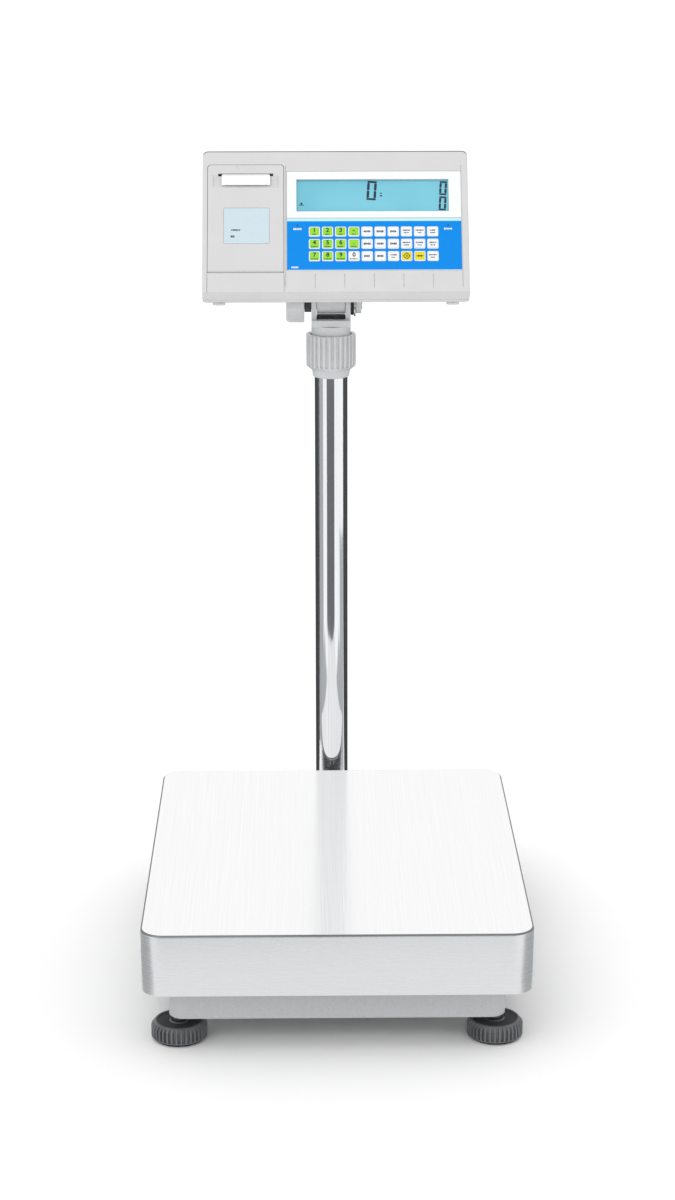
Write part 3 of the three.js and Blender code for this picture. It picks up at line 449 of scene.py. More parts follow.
# Uncoated label paper: short fibres that give a soft tooth.
def labelPaper():
    material, tree, shader = newMaterial("labelPaper", "#F4F5F5", 0, 0.8, IOR=1.45)
    fibres = grain(tree, (0.5, 2.5, 0.5), 4)
    tree.links.new(tint(tree, fibres, "#EDEFF0", "#FBFBFB"), shader.inputs["Base Color"])
    relief(tree, shader, fibres, 0.25, 0.02)
    return material


# Green solder resist over copper: the tracks show as slightly lighter lines.
def solderResist():
    material, tree, shader = newMaterial("solderResist", "#1E5C3B", 0, 0.35, IOR=1.5)
    coordinates = addNode(tree, "ShaderNodeTexCoord", {})
    tracks = addNode(
        tree,
        "ShaderNodeTexBrick",
        {"Scale": 60.0, "Mortar Size": 0.03},
        {"Vector": coordinates.outputs["Object"]},
    )
    tree.links.new(tint(tree, tracks.outputs["Fac"], "#1A5335", "#2E7A4F"), shader.inputs["Base Color"])
    return material


# The pan's top and skirt are one steel: the top is painted lighter as painted light, the skirt darker
# as painted shade. Only the run of their grain really differs.
trayTopPaintedLight = brushedStainless("brushedStainlessTopPaintedLight", (0.7, 160, 0.7), "#F5F5F6", "#FCFCFC", 0.11)
# The pan's rounded rim is the same steel, painted dark grey as a painted reflection.
trayRimPaintedReflection = brushedStainless("stainlessRimPaintedReflection", (160, 160, 3), "#6A6C6E", "#85878A", 0.25)
traySkirtPaintedShade = brushedStainless("brushedStainlessSkirtPaintedShade", (180, 180, 0.4), "#D8D9DA", "#E1E2E3", 0.22)
chrome = chromePlate()
enamel = stoveEnamel()
powder = powderCoat()
zinc = zincPlate()
anodised = anodisedAluminium()
housing = mouldedPlastic("mouldedAbs", "#CFCFCF", "#D2D2D2")
# A darker copy of the housing's plastic: painted shade for the bend along the head's top.
housingPaintedShade = mouldedPlastic("mouldedAbsPaintedShade", "#6C6D6E", "#787A7B")
nylon = mouldedPlastic("mouldedNylonLight", "#C9CACB", "#D1D2D3", 0.3)
darkNylon = mouldedPlastic("mouldedNylonDark", "#58595C", "#6C6D70", 0.34)
# A darker copy of the feet's nylon: painted shade for the wheel's top under the base.
footTopPaintedShade = mouldedPlastic("mouldedNylonPaintedShade", "#2F3033", "#3D3E41", 0.5)
rubber = mattRubber()
filmWhite = printedFilm("filmWhite", "#EDEFF0", "#F4F5F6")
filmPale = printedFilm("filmPaleCyan", "#BCE6F2", "#C6F0FA")
filmBlue = printedFilm("filmBlue", "#0084DE", "#008DEA")
keyGreen = printedFilm("keyGreen", "#92D432", "#9BDE3C")
keyYellow = printedFilm("keyYellow", "#E0D012", "#EADA1E")
glass = crystalGlass()
darkInk = screenInk("darkInk", "#1C2A38")
segmentInk = screenInk("crystalSegments", "#052038")
paperWhite = labelPaper()
stickerBlue = printedFilm("palePrintedSticker", "#C6D6DE", "#CFDEE6")
board = solderResist()
print("materials made")


def centreOf(node):
    low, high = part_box(node)
    return (Vector(low) + Vector(high)) / 2


pillarPlace = Matrix.Translation((centreOf("pillar").x, centreOf("pillar").y, 0))
lean = math.radians(30)
faceTurn = Matrix.Rotation(math.pi / 2 - lean, 4, "X")
filmPlace = Matrix.Translation(centreOf("keypad_membrane")) @ faceTurn
labelPlace = Matrix.Translation(centreOf("door_label")) @ faceTurn

# The pan: one pressed tray with round corners and a folded rim.
panSheet = {"corner": 23, "rim": 2.6, "wall": 1.5}


def makePan():
    low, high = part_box("weighing_pan")
    pan = block("weighing_pan_sheet", low, high)
    top = high[2]
    isUnderside = lambda centre, normal: normal.z < -0.9
    edit(pan, "FACE", isUnderside, lambda: bpy.ops.mesh.delete(type="FACE"))
    edit(pan, "EDGE", isUpright, bevelBy(panSheet["corner"], 14))
    edit(pan, "EDGE", lambda middle, way: middle.z > top - 0.01 * mm, bevelBy(panSheet["rim"], 5))
    modify(pan, "SOLIDIFY", thickness=panSheet["wall"] * mm, offset=-1, use_even_offset=True)
    standFor(pan, "weighing_pan", trayTopPaintedLight, traySkirtPaintedShade, trayRimPaintedReflection)
    # Each face takes the top's painted light, the skirt's painted shade or the rim's painted
    # reflection, by which way it faces.
    for face in pan.data.polygons:
        isRim = 0.3 < face.normal.z < 0.95 and face.center.z > top - panSheet["rim"] * mm
        face.material_index = 2 if isRim else 0 if face.normal.z > 0.95 else 1
    smooth(pan)


makePan()
print("pan made")

# A levelling foot: a ribbed wheel with a sloped shoulder on a threaded stud.
footWheel = {
    "radius": 29, "ribs": 36, "ribDepth": 0.095, "low": 2.9, "ribLow": 4.2, "shoulder": 15.6,
    "slope": 25.6, "top": 20, "round": 0.5, "rim": 2.4, "recess": 1, "hub": 9, "stud": 5,
    "threadDepth": 0.6, "pitch": 1.5, "threadEnd": 32, "studTop": 52,
}


def makeFootWheel():
    f = footWheel
    radius, slope, top, rounding = f["radius"], f["slope"], f["top"], f["round"]
    stud, root, pitch = f["stud"], f["stud"] - f["threadDepth"], f["pitch"]
    floor = top - f["recess"]
    rings = [
        (radius - 1.2, f["low"]),
        (radius, f["low"] + rounding),
        (radius, f["ribLow"]),
        (radius, f["ribLow"] + 0.6),
        (radius, f["shoulder"] - rounding),
        (radius - 0.4, f["shoulder"]),
        (slope, top - 0.7),
        (slope - 0.8, top - 0.1),
        (slope - f["rim"], top - 0.1),
        (slope - f["rim"] - rounding, floor),
        (f["hub"] + 1.2, floor),
        (f["hub"] + 0.6, floor + 0.6),
        (f["hub"], top),
        (stud + rounding, top),
        (root, top),
    ]
    height = top
    while height < f["threadEnd"]:
        rings.append((stud, height + 0.3 * pitch))
        rings.append((stud, height + 0.5 * pitch))
        rings.append((root, height + 0.8 * pitch))
        rings.append((root, height + pitch))
        height += pitch
    rings += [(stud, f["threadEnd"] + 1), (stud, f["studTop"] - 1), (stud - 1, f["studTop"])]
    wheel = turned("foot_wheel", rings, sides=6 * f["ribs"])
    low, high = f["ribLow"] * mm, f["shoulder"] * mm
    flute(wheel, f["ribs"], 6, 3, f["ribDepth"], lambda co: low < co.z - 0.3 * mm < high)
    dress(wheel.data, (darkNylon, footTopPaintedShade))
    # The flat top inside the wheel's rim gets the painted shade.
    inside = (slope - f["rim"]) * mm
    for face in wheel.data.polygons:
        isFlat = face.normal.z > 0.9 and face.center.z > high
        face.material_index = 1 if isFlat and face.center.xy.length < inside else 0
    smooth(wheel, 28)
    return wheel


# The rubber sole: a disc with rounded edges and a shallow seat for the wheel.
soleDisc = {"radius": 26, "thick": 2.6, "seat": 12, "seatDepth": 0.4, "middle": 2}


def makeSole():
    s = soleDisc
    rings = [
        (s["radius"] - 1, 0),
        (s["radius"], 0.6),
        (s["radius"], s["thick"] - 0.5),
        (s["radius"] - 0.8, s["thick"]),
        (s["seat"], s["thick"]),
        (s["seat"] - 0.5, s["thick"] - s["seatDepth"]),
        (s["middle"], s["thick"] - s["seatDepth"]),
    ]
    sole = turned("foot_sole", rings)
    smooth(sole)
    return sole


def makeFeet():
    wheel = makeFootWheel()
    sole = makeSole()
    for where in ("front_left", "front_right", "rear_left", "rear_right"):
        spot = centreOf("foot_sole_" + where)
        place = Matrix.Translation((spot.x, spot.y, 0))
        standFor(moveBy(copyOf(wheel, "foot_wheel_" + where), place), "foot_" + where)
        standFor(moveBy(copyOf(sole, "foot_pad_" + where), place), "foot_sole_" + where, rubber)
    for pattern in (wheel, sole):
        bpy.data.objects.remove(pattern, do_unlink=True)


makeFeet()
print("feet made")

# The chromed tube.
tube = {"radius": 19, "bore": 17.5, "chamfer": 0.5}


def makePillar():
    low, high = (corner[2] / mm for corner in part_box("pillar"))
    c = tube["chamfer"]
    rings = [
        (tube["radius"] - c, low),
        (tube["radius"], low + c),
        (tube["radius"], high - c),
        (tube["radius"] - c, high),
        (tube["bore"], high),
        (tube["bore"], low),
    ]
    pillar = turned("pillar_tube", rings, sides=128, through=True)
    smooth(moveBy(pillar, pillarPlace))
    standFor(pillar, "pillar", chrome)


# The locking collar: a fluted grip above a smooth cone.
grip = {
    "radius": 28.6, "flutes": 28, "depth": 0.085, "cone": 12.5, "lip": 20.8, "waist": 22,
    "wall": 4.5, "bore": 19.7,
}


def makeCollar():
    low, high = (corner[2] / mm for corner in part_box("lock_collar"))
    r = grip["radius"]
    coneTop = low + grip["cone"]
    inner = r - grip["wall"]
    rings = [
        (grip["lip"] - 1, low),
        (grip["lip"], low + 0.8),
        (grip["waist"], coneTop - 4.6),
        (r - 1.6, coneTop - 0.6),
        (r - 0.3, coneTop + 0.4),
        (r - 0.3, coneTop + 1.4),
        (r, coneTop + 2.6),
        (r, high - 1.6),
        (r, high - 0.6),
        (r - 0.5, high - 0.1),
        (inner + 0.6, high - 0.1),
        (inner, high - 0.8),
        (inner, coneTop + 1),
        (grip["bore"], coneTop + 1),
        (grip["bore"], low),
    ]
    collar = turned("lock_collar_grip", rings, sides=8 * grip["flutes"], through=True)
    floor, ceiling = (coneTop + 1) * mm, high * mm
    isGrip = lambda co: co.xy.length > (r - 2) * mm and floor < co.z < ceiling
    flute(collar, grip["flutes"], 8, 4, grip["depth"], isGrip)
    smooth(moveBy(collar, pillarPlace), 25)
    standFor(collar, "lock_collar", nylon)


makePillar()
makeCollar()
print("pillar and collar made")

# The yoke: a spigot in the pillar, a round neck, a block, and two round-topped ears.
yokeForm = {
    "spigot": 14, "spigotBore": 8, "spigotLength": 31, "neck": 22.5, "neckHeight": 18, "block": 8.1,
    "length": 40, "corner": 3, "ear": 5.5, "gap": 33.8, "earRadius": 11.5, "rise": 15, "edge": 0.9,
    "blend": 0.5,
}


def makeEar(side, floor):
    y = yokeForm
    start = side * y["gap"] / 2
    end = side * (y["gap"] / 2 + y["ear"])
    west, east = min(start, end), max(start, end)
    r = y["earRadius"]
    top = floor + y["rise"] + r
    low = (west * mm, -r * mm, (floor - 0.2) * mm)
    high = (east * mm, r * mm, top * mm)
    ear = block("ear", low, high)
    isTopEdge = lambda middle, way: abs(way.x) > 0.9 and middle.z > high[2] - mm
    edit(ear, "EDGE", isTopEdge, bevelBy(r - 0.02, 20))
    isCheek = lambda centre, normal: abs(normal.x) > 0.9
    edit(ear, "FACE", isCheek, lambda: bpy.ops.mesh.inset(thickness=y["edge"] * mm, depth=0))
    return ear


def makeYoke():
    y = yokeForm
    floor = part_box("yoke")[1][2] / mm - y["earRadius"] - y["rise"]
    neckTop = floor - y["block"] + 0.1  # a little inside the block
    neckBottom = floor - y["block"] - y["neckHeight"]
    spigotEnd = neckBottom - y["spigotLength"]
    rings = [
        (y["spigotBore"], spigotEnd),
        (y["spigot"], spigotEnd + 0.5),
        (y["spigot"], neckBottom),
        (y["neck"] - 0.5, neckBottom),
        (y["neck"], neckBottom + 0.5),
        (y["neck"], neckTop),
        (y["spigotBore"], neckTop),
        (y["spigotBore"], spigotEnd),
    ]
    neck = turned("neck", rings, sides=120, through=True)
    half = y["gap"] / 2 + y["ear"]
    slab = block(
        "slab",
        (-half * mm, -y["length"] / 2 * mm, (floor - y["block"]) * mm),
        (half * mm, y["length"] / 2 * mm, floor * mm),
    )
    edit(slab, "EDGE", isUpright, bevelBy(y["corner"], 6))
    edit(slab, "EDGE", lambda middle, way: abs(way.z) < 0.1, bevelBy(y["edge"], 3))
    ears = [makeEar(side, floor) for side in (-1, 1)]
    yoke = joined("yoke_casting", neck, slab, *ears)
    modify(
        yoke,
        "BEVEL",
        width=y["blend"] * mm,
        segments=2,
        limit_method="ANGLE",
        angle_limit=math.radians(50),
    )
    smooth(moveBy(yoke, pillarPlace))
    standFor(yoke, "yoke", nylon)


# The rubber bush for the load cell's lead, in the gap between the ears.
bush = {"halfWidth": 16.4, "halfDepth": 9, "rise": 3.1, "corner": 2, "rim": 1.2, "sink": 0.7}


def makeLeadBush():
    b = bush
    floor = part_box("yoke")[1][2] / mm - yokeForm["earRadius"] - yokeForm["rise"]
    low = (-b["halfWidth"] * mm, -b["halfDepth"] * mm, (floor + 0.02) * mm)
    high = (b["halfWidth"] * mm, b["halfDepth"] * mm, (floor + b["rise"]) * mm)
    piece = block("yoke_lead_bush", low, high)
    edit(piece, "EDGE", isUpright, bevelBy(b["corner"], 5))
    isTop = lambda centre, normal: normal.z > 0.9
    sink = lambda: bpy.ops.mesh.inset(thickness=b["rim"] * mm, depth=-b["sink"] * mm)
    edit(piece, "FACE", isTop, sink)
    smooth(moveBy(piece, pillarPlace))
    addTrim(piece, "yoke", "rubber", rubber)


makeYoke()
makeLeadBush()
print("yoke made")

# CAD nodes whose copies get whole faces and broken edges: width in mm, segments and finish.
brokenEdges = {
    "base_frame": (1.2, 3, enamel),
    "pillar_bracket": (0.6, 2, powder),
    "pillar_socket": (0.8, 3, powder),
    "bracket_bolt_left": (0.4, 2, zinc),
    "bracket_bolt_right": (0.4, 2, zinc),
    "cable_gland": (0.4, 2, darkNylon),
    "tube_bush": (0.5, 2, darkNylon),
    "friction_washer": (0.3, 2, rubber),
    "tilt_washer": (0.25, 2, zinc),
    "tilt_nut": (0.5, 3, nylon),
    "lever_spacer": (0.4, 2, powder),
    "tilt_bolt": (0.4, 2, zinc),
    "tilt_lever": (1.0, 3, nylon),
    "tilt_boss": (0.6, 3, nylon),
    "head_strip_left": (0.8, 3, housing),
    "head_strip_right": (0.8, 3, housing),
    "serial_port": (0.5, 2, zinc),
    "power_socket": (0.4, 2, powder),
    "cell_socket": (0.4, 2, powder),
    "spirit_level": (0.4, 2, nylon),
    "print_chassis": (0.3, 2, zinc),
    "printer_cradle": (0.4, 2, nylon),
    "label_roll": (0.3, 2, paperWhite),
    "roll_spindle": (0.3, 2, nylon),
    "platen_roller": (0.3, 2, rubber),
}


def makeRefined():
    for node, (width, segments, material) in brokenEdges.items():
        standFor(refined(node, (width, segments, everything)), node, material)


# CAD nodes that are hidden, flat or small: they only get their finish.
def keepCadForm():
    finishes = {
        "load_cell": anodised, "top_frame": enamel, "battery_pack": darkNylon, "main_board": board,
        "print_motor": zinc, "motor_gear": nylon, "platen_shaft": zinc, "label_strip": paperWhite,
        "door_label": stickerBlue,
    }
    for corner in ("front_left", "front_right", "rear_left", "rear_right"):
        finishes["rest_pad_" + corner] = rubber
    for corner in ("low_left", "low_right", "high_left", "high_right"):
        finishes["case_screw_" + corner] = zinc
    for node, material in finishes.items():
        dress(frame["nodes"][node].data, [material])


makeRefined()
keepCadForm()
print("carried-over nodes finished")


# The head's two shells: their sides and the front's top outline are rounded, in mm, and the
# bend along the top is painted darker, as painted shade.
shellEdges = {"outer": 1.8, "corner": 6.5}


def makeShells():
    low, high = (Vector(corner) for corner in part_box("front_shell"))
    back = filmPlace.inverted()
    points = [back @ vertex.co for vertex in frame["nodes"]["front_shell"].data.vertices]
    top = max(point.y for point in points)
    front = max(point.z for point in points if point.y > top - 0.3 * mm)
    corner = top - shellEdges["corner"] * mm

    def onSides(middle, way):
        return min(middle.x - low.x, high.x - middle.x) < 0.05 * mm

    def onOutline(middle, way):
        spot = back @ middle
        return onSides(middle, way) or (spot.z > front - 0.3 * mm and spot.y > corner)

    shell = refined("front_shell")
    breakEdges(shell, shellEdges["outer"], 4, onOutline, clamp=False)
    smooth(shell)
    standFor(shell, "front_shell", housing, housingPaintedShade)
    # The faces of the front shell's top bend get the painted shade.
    for face in shell.data.polygons:
        spot, normal = back @ face.center, back.to_3x3() @ face.normal
        isTopBend = spot.y > corner and spot.z > front - shellEdges["outer"] * mm
        face.material_index = 1 if isTopBend and 0.1 < normal.z < 0.99 and normal.y > 0.1 else 0
    rear = refined("rear_shell", (shellEdges["outer"], 4, onSides))
    standFor(rear, "rear_shell", housing)


def makeDoor():
    door = refined("printer_door", (0.4, 2, everything))
    standFor(door, "printer_door", housing)


# The serrated bar above the slot, where a printed label is torn off.
tearBar = {"width": 53, "height": 1.5, "thick": 0.5, "tooth": 1.3, "toothDepth": 0.6}


def makeTearBar():
    b = tearBar
    back = labelPlace.inverted()
    strip = [back @ vertex.co for vertex in frame["nodes"]["label_strip"].data.vertices]
    x = (min(v.x for v in strip) + max(v.x for v in strip)) / 2
    y = max(v.y for v in strip) + 0.1 * mm
    low = (x - b["width"] / 2 * mm, y, 0)
    high = (x + b["width"] / 2 * mm, y + b["height"] * mm, b["thick"] * mm)
    bar = block("label_tear_bar", low, high)
    cuts = 2 * round(b["width"] / b["tooth"]) - 1
    isLong = lambda middle, way: abs(way.x) > 0.9
    edit(bar, "EDGE", isLong, lambda: bpy.ops.mesh.subdivide_edgering(number_cuts=cuts))
    edge = high[1] - 0.1 * mm
    step = b["width"] * mm / (cuts + 1)
    isNotch = lambda co: co.y > edge and round((co.x - low[0]) / step) % 2 == 1
    drop = lambda: bpy.ops.transform.translate(value=(0, -b["toothDepth"] * mm, 0))
    edit(bar, "VERT", isNotch, drop)
    moveBy(bar, labelPlace)
    addTrim(bar, "printer_door", slotOf["printer_door"], housing)


makeShells()
makeDoor()
makeTearBar()
print("head shells made")

# The keypad film, in its own frame: x across, y up and z out, in mm from its middle.
film = {
    "width": 196.4, "height": 119.4, "sheet": 0.5, "corner": 1.6, "lineTop": 3.5, "stripeTop": 3.1,
    "blueTop": -0.5, "blueBottom": -59.1, "windowLeft": -87.5, "windowRight": 84.5,
    "windowTop": 50.3, "windowBottom": 11.3,
}


# Cuts a piece's faces along a plane and keeps both sides.
def cutAt(piece, point, normal):
    cut = lambda: bpy.ops.mesh.bisect(plane_co=point, plane_no=normal)
    edit(piece, "FACE", everything, cut)


def makeFilm():
    w, h, s = film["width"] / 2 * mm, film["height"] / 2 * mm, film["sheet"] / 2 * mm
    sheet = block("keypad_film", (-w, -h, -s), (w, h, s))
    edit(sheet, "EDGE", isUpright, bevelBy(film["corner"], 6))
    for line in ("lineTop", "stripeTop", "blueTop", "blueBottom", "windowTop", "windowBottom"):
        cutAt(sheet, (0, film[line] * mm, 0), (0, 1, 0))
    for line in ("windowLeft", "windowRight"):
        cutAt(sheet, (film[line] * mm, 0, 0), (1, 0, 0))

    def inWindow(centre):
        across = film["windowLeft"] * mm < centre.x < film["windowRight"] * mm
        return across and film["windowBottom"] * mm < centre.y < film["windowTop"] * mm

    drop = {"value": (0, 0, -2 * s)}
    edit(
        sheet,
        "FACE",
        lambda centre, normal: inWindow(centre) and normal.z > 0.9,
        lambda: bpy.ops.mesh.extrude_region_move(TRANSFORM_OT_translate=drop),
    )
    edit(
        sheet,
        "FACE",
        lambda centre, normal: inWindow(centre) and centre.z < -0.9 * s,
        lambda: bpy.ops.mesh.delete(type="FACE"),
    )
    edit(sheet, "VERT", everything, lambda: bpy.ops.mesh.remove_doubles(threshold=0.01 * mm))
    faceOut(sheet)
    standFor(moveBy(sheet, filmPlace), "keypad_membrane", filmWhite, darkInk, filmPale, filmBlue)
    back = filmPlace.inverted()
    for face in sheet.data.polygons:
        spot = (back @ face.center) / mm
        if film["stripeTop"] < spot.y < film["lineTop"]:
            face.material_index = 1
        if film["blueTop"] < spot.y < film["stripeTop"]:
            face.material_index = 2
        isEdge = abs(spot.x) > film["width"] / 2 - 0.1
        if film["blueBottom"] < spot.y < film["blueTop"] and not isEdge:
            face.material_index = 3


# The keys: pillows raised in the film, on one pitch each way.
key = {
    "pitch": 14.79, "left": -67.4, "top": -13.3, "columns": 10, "rows": 3, "width": 12.6,
    "height": 11.8, "corner": 1.6, "edge": 0.45, "rise": 0.75, "rim": 0.9,
    "green": [(0, 0), (0, 1), (0, 2), (0, 3), (1, 0), (1, 1), (1, 2), (1, 3), (2, 0), (2, 1), (2, 2)],
    "yellow": [(2, 7), (2, 8)],
}


def keySpot(row, column):
    return key["left"] + column * key["pitch"], key["top"] - row * key["pitch"]


def makeKey():
    w, h = key["width"] / 2 * mm, key["height"] / 2 * mm
    cap = block("key", (-w, -h, 0), (w, h, key["rise"] * mm))
    edit(cap, "EDGE", isUpright, bevelBy(key["corner"], 5))
    isTopEdge = lambda middle, way: middle.z > key["rise"] * mm * 0.99
    edit(cap, "EDGE", isTopEdge, bevelBy(key["edge"], 3))
    isTop = lambda centre, normal: normal.z > 0.9
    edit(cap, "FACE", isTop, lambda: bpy.ops.mesh.inset(thickness=key["rim"] * mm))
    return cap


# Colours a cap's flat top, apart from its rim on the left and on the right.
def paintKey(cap, spot):
    colour = 1 if spot in key["green"] else 2 if spot in key["yellow"] else 0
    dress(cap.data, (filmWhite, keyGreen, keyYellow))
    for face in cap.data.polygons:
        isPrinted = face.normal.z > 0.99 and abs(face.center.x) < key["width"] / 4 * mm
        face.material_index = colour if isPrinted else 0


def makeKeys():
    pattern = makeKey()
    caps = []
    for row in range(key["rows"]):
        for column in range(key["columns"]):
            cap = copyOf(pattern, "key_cap")
            paintKey(cap, (row, column))
            x, y = keySpot(row, column)
            moveBy(cap, Matrix.Translation((x * mm, y * mm, film["sheet"] / 2 * mm)))
            caps.append(cap)
    bpy.data.objects.remove(pattern, do_unlink=True)
    keys = joined("keypad_keys", *caps)
    smooth(moveBy(keys, filmPlace), 40)
    addTrim(keys, "keypad_membrane", "keypad_film")


makeFilm()
makeKeys()
print("keypad made")


# Thin printed marks in the film's frame: numbers as text, the rest as small bars.
ink = {"thick": 0.04, "bold": 0.22, "lift": 0.05, "gap": 0.35}


def textMark(body, size, x, y, z):
    bpy.ops.object.select_all(action="DESELECT")
    bpy.ops.object.text_add(location=(0, 0, 0))
    text = bpy.context.object
    text.data.body = body
    text.data.size = size * mm
    text.data.align_x = "CENTER"
    text.data.align_y = "CENTER"
    text.data.extrude = ink["thick"] * mm
    text.data.offset = ink["bold"] * mm
    text.data.resolution_u = 3
    work(text)
    bpy.ops.object.convert(target="MESH")
    return moveBy(text, Matrix.Translation((x * mm, y * mm, z * mm)))


def barMark(width, height, x, y, z, turn=0.0):
    w, h = width / 2 * mm, height / 2 * mm
    thick = ink["thick"] * mm
    bar = block("bar", (-w, -h, -thick), (w, h, thick))
    edit(bar, "EDGE", isUpright, bevelBy(min(width, height) * 0.2, 1))
    spin = Matrix.Rotation(math.radians(turn), 4, "Z")
    return moveBy(bar, Matrix.Translation((x * mm, y * mm, z * mm)) @ spin)


# A run of small blocks, as wide as a short word in small print.
def wordMark(draw, width, height, x, y, z):
    blocks = []
    start = -width / 2
    while start < width / 2 - 0.6:
        part = min(draw.uniform(0.9, 1.7), width / 2 - start)
        tall = height * draw.choice((1, 0.75))
        blocks.append(barMark(part, tall, x + start + part / 2, y, z))
        start += part + ink["gap"]
    return blocks


# What is printed on and beside the keys: heights of the marks, and where they stand, in mm.
keyMarks = {
    "digit": 7, "digitRise": 1.5, "word": 1.3, "wordDrop": 3.3, "big": 2.6, "upper": 1.7,
    "upperRise": 1.3, "lowerDrop": 1.7, "lampWidth": 1.5, "lampTall": 1.9,
    "lampsAt": (-86.5, 83.2), "lampHeight": -5.6, "lampWordHeight": -10, "cornerWord": (-89.4, -56),
    "digits": {
        (0, 0): "1", (0, 1): "2", (0, 2): "3", (1, 0): "4", (1, 1): "5", (1, 2): "6",
        (2, 0): "7", (2, 1): "8", (2, 2): "9", (2, 3): "0", (0, 3): "-", (1, 3): ".",
    },
}


# An open diamond with a dot in it.
def diamondMark(x, y, z):
    corners = [(-1, -1), (-1, 1), (1, -1), (1, 1)]
    ring = [barMark(5.2, 0.8, x + 1.9 * sx, y + 1.9 * sy, z, -45 * sx * sy) for sx, sy in corners]
    return ring + [barMark(1.6, 2.2, x, y, z)]


# A line with an arrow head on each side of its middle.
def arrowsMark(x, y, z):
    heads = [barMark(2, 2, x + side * 1.3, y, z, 45) for side in (-1, 1)]
    return heads + [barMark(8.4, 0.7, x, y, z)]


# What is printed on one key: a digit over a word, a sign, one big word, or two small words.
def marksOnKey(draw, row, column):
    m = keyMarks
    x, y = keySpot(row, column)
    z = film["sheet"] / 2 + key["rise"] + ink["lift"]
    if (row, column) in m["digits"]:
        digit = textMark(m["digits"][row, column], m["digit"], x, y + m["digitRise"], z)
        width = draw.uniform(4 + 2 * row, 6 + 2 * row)
        return [digit] + wordMark(draw, width, m["word"], x, y - m["wordDrop"], z)
    if (row, column) == key["yellow"][0]:
        return diamondMark(x, y, z)
    if (row, column) == key["yellow"][1]:
        return arrowsMark(x, y, z)
    if column < 7 and row < 2 or column < 6:
        return wordMark(draw, draw.uniform(6.5, 8.5), m["big"], x, y, z)
    upper = wordMark(draw, draw.uniform(7, 9), m["upper"], x, y + m["upperRise"], z)
    return upper + wordMark(draw, draw.uniform(4, 7), m["word"], x, y - m["lowerDrop"], z)


def makeKeyMarks():
    draw = random.Random(11)
    dark = []
    for row in range(key["rows"]):
        for column in range(key["columns"]):
            dark += marksOnKey(draw, row, column)
    m = keyMarks
    z = film["sheet"] / 2 + ink["lift"]
    white = []
    for x in m["lampsAt"]:
        dark.append(barMark(m["lampWidth"], m["lampTall"], x, m["lampHeight"], z))
        white += wordMark(draw, 9, 2.4, x, m["lampWordHeight"], z)
    white += wordMark(draw, 8, 1.9, *m["cornerWord"], z)
    for name, marks, material in (
        ("keypad_marks", dark, darkInk),
        ("keypad_lights", white, filmWhite),
    ):
        printed = moveBy(joined(name, *marks), filmPlace)
        addTrim(printed, "keypad_membrane", "keypad_film", material)


makeKeyMarks()
print("key marks made")


# The display: a framed glass with slanted figures and small signs, each with its place and size.
display = {
    "frame": 3.6, "sink": 0.35, "bevel": 0.2, "slant": 0.14, "depth": 5, "height": 47,
    "corner": 1, "barGap": 0.3, "lift": 0.06,
    "weight": {"x": -2.4, "y": 37.6, "width": 10.8, "height": 22.9, "bar": 2.9},
    "price": {"x": 78.5, "y": 40.3, "width": 8.4, "height": 16.6, "bar": 2.5},
    "total": {"x": 77.6, "y": 21.9, "width": 8.4, "height": 16.6, "bar": 2.5},
    "signs": {
        "unit": {"x": 8.1, "y": 34.4, "width": 2.4, "height": 1.1},
        "unitFoot": {"x": 8.1, "y": 31.2, "width": 2.8, "height": 1.4},
        "stable": {"x": -81.9, "y": 22, "width": 2.2, "height": 2.2, "turn": 45},
        "stableLine": {"x": -81.9, "y": 20.2, "width": 6, "height": 0.8},
    },
}


# A nought made of two flat bars and four upright ones.
def figureZero(figure, z):
    width, tall, bar = figure["width"], figure["height"] / 2, figure["bar"]
    gap, flat = display["barGap"], bar * 0.8
    upright = tall - flat - 2 * gap
    parts = []
    for sy in (-1, 1):
        parts.append(barMark(width - gap, flat, 0, sy * (tall - flat / 2), 0))
        for sx in (-1, 1):
            across = sx * (width - bar) / 2
            parts.append(barMark(bar, upright, across, sy * (upright / 2 + gap), 0))
    shear = Matrix.Identity(4)
    shear[0][1] = display["slant"]
    place = Matrix.Translation((figure["x"] * mm, figure["y"] * mm, z * mm))
    return moveBy(joined("figure", *parts), place @ shear)


def makeDisplay():
    low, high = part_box("lcd_module")
    half = (high[0] - low[0]) / 2
    local = filmPlace.inverted() @ centreOf("lcd_module")
    depth = display["depth"] / 2
    tall = display["height"] / 2
    panel = block("lcd_panel", (-half, -tall * mm, -depth * mm), (half, tall * mm, depth * mm))
    edit(
        panel,
        "FACE",
        lambda spot, normal: normal.z > 0.9,
        lambda: bpy.ops.mesh.inset(thickness=display["frame"] * mm),
        lambda: bpy.ops.mesh.inset(thickness=display["bevel"] * mm, depth=-display["sink"] * mm),
    )
    isOuterEdge = lambda middle, way: abs(way.z) > 0.95
    edit(panel, "EDGE", isOuterEdge, bevelBy(display["corner"], 3))
    standFor(panel, "lcd_module", powder, glass)
    for face in panel.data.polygons:
        isGlass = face.normal.z > 0.9 and face.center.z < (depth - display["sink"] * 0.5) * mm
        face.material_index = 1 if isGlass else 0
    moveBy(panel, filmPlace @ Matrix.Translation(local))
    z = local.z / mm + depth - display["sink"] + display["lift"]
    figures = [figureZero(display[name], z) for name in ("weight", "price", "total")]
    signs = [barMark(z=z, **sign) for sign in display["signs"].values()]
    shown = joined("lcd_figures", *figures, *signs)
    addTrim(moveBy(shown, filmPlace), "lcd_module", "display", segmentInk)


makeDisplay()
print("display made")


# Two short words on the door's label, in the label's frame.
labelWords = {
    "lift": 0.2,
    "upper": {"width": 10.6, "height": 2, "x": -12, "y": -5.1},
    "lower": {"width": 4.6, "height": 2.6, "x": -15.4, "y": -12.9},
}


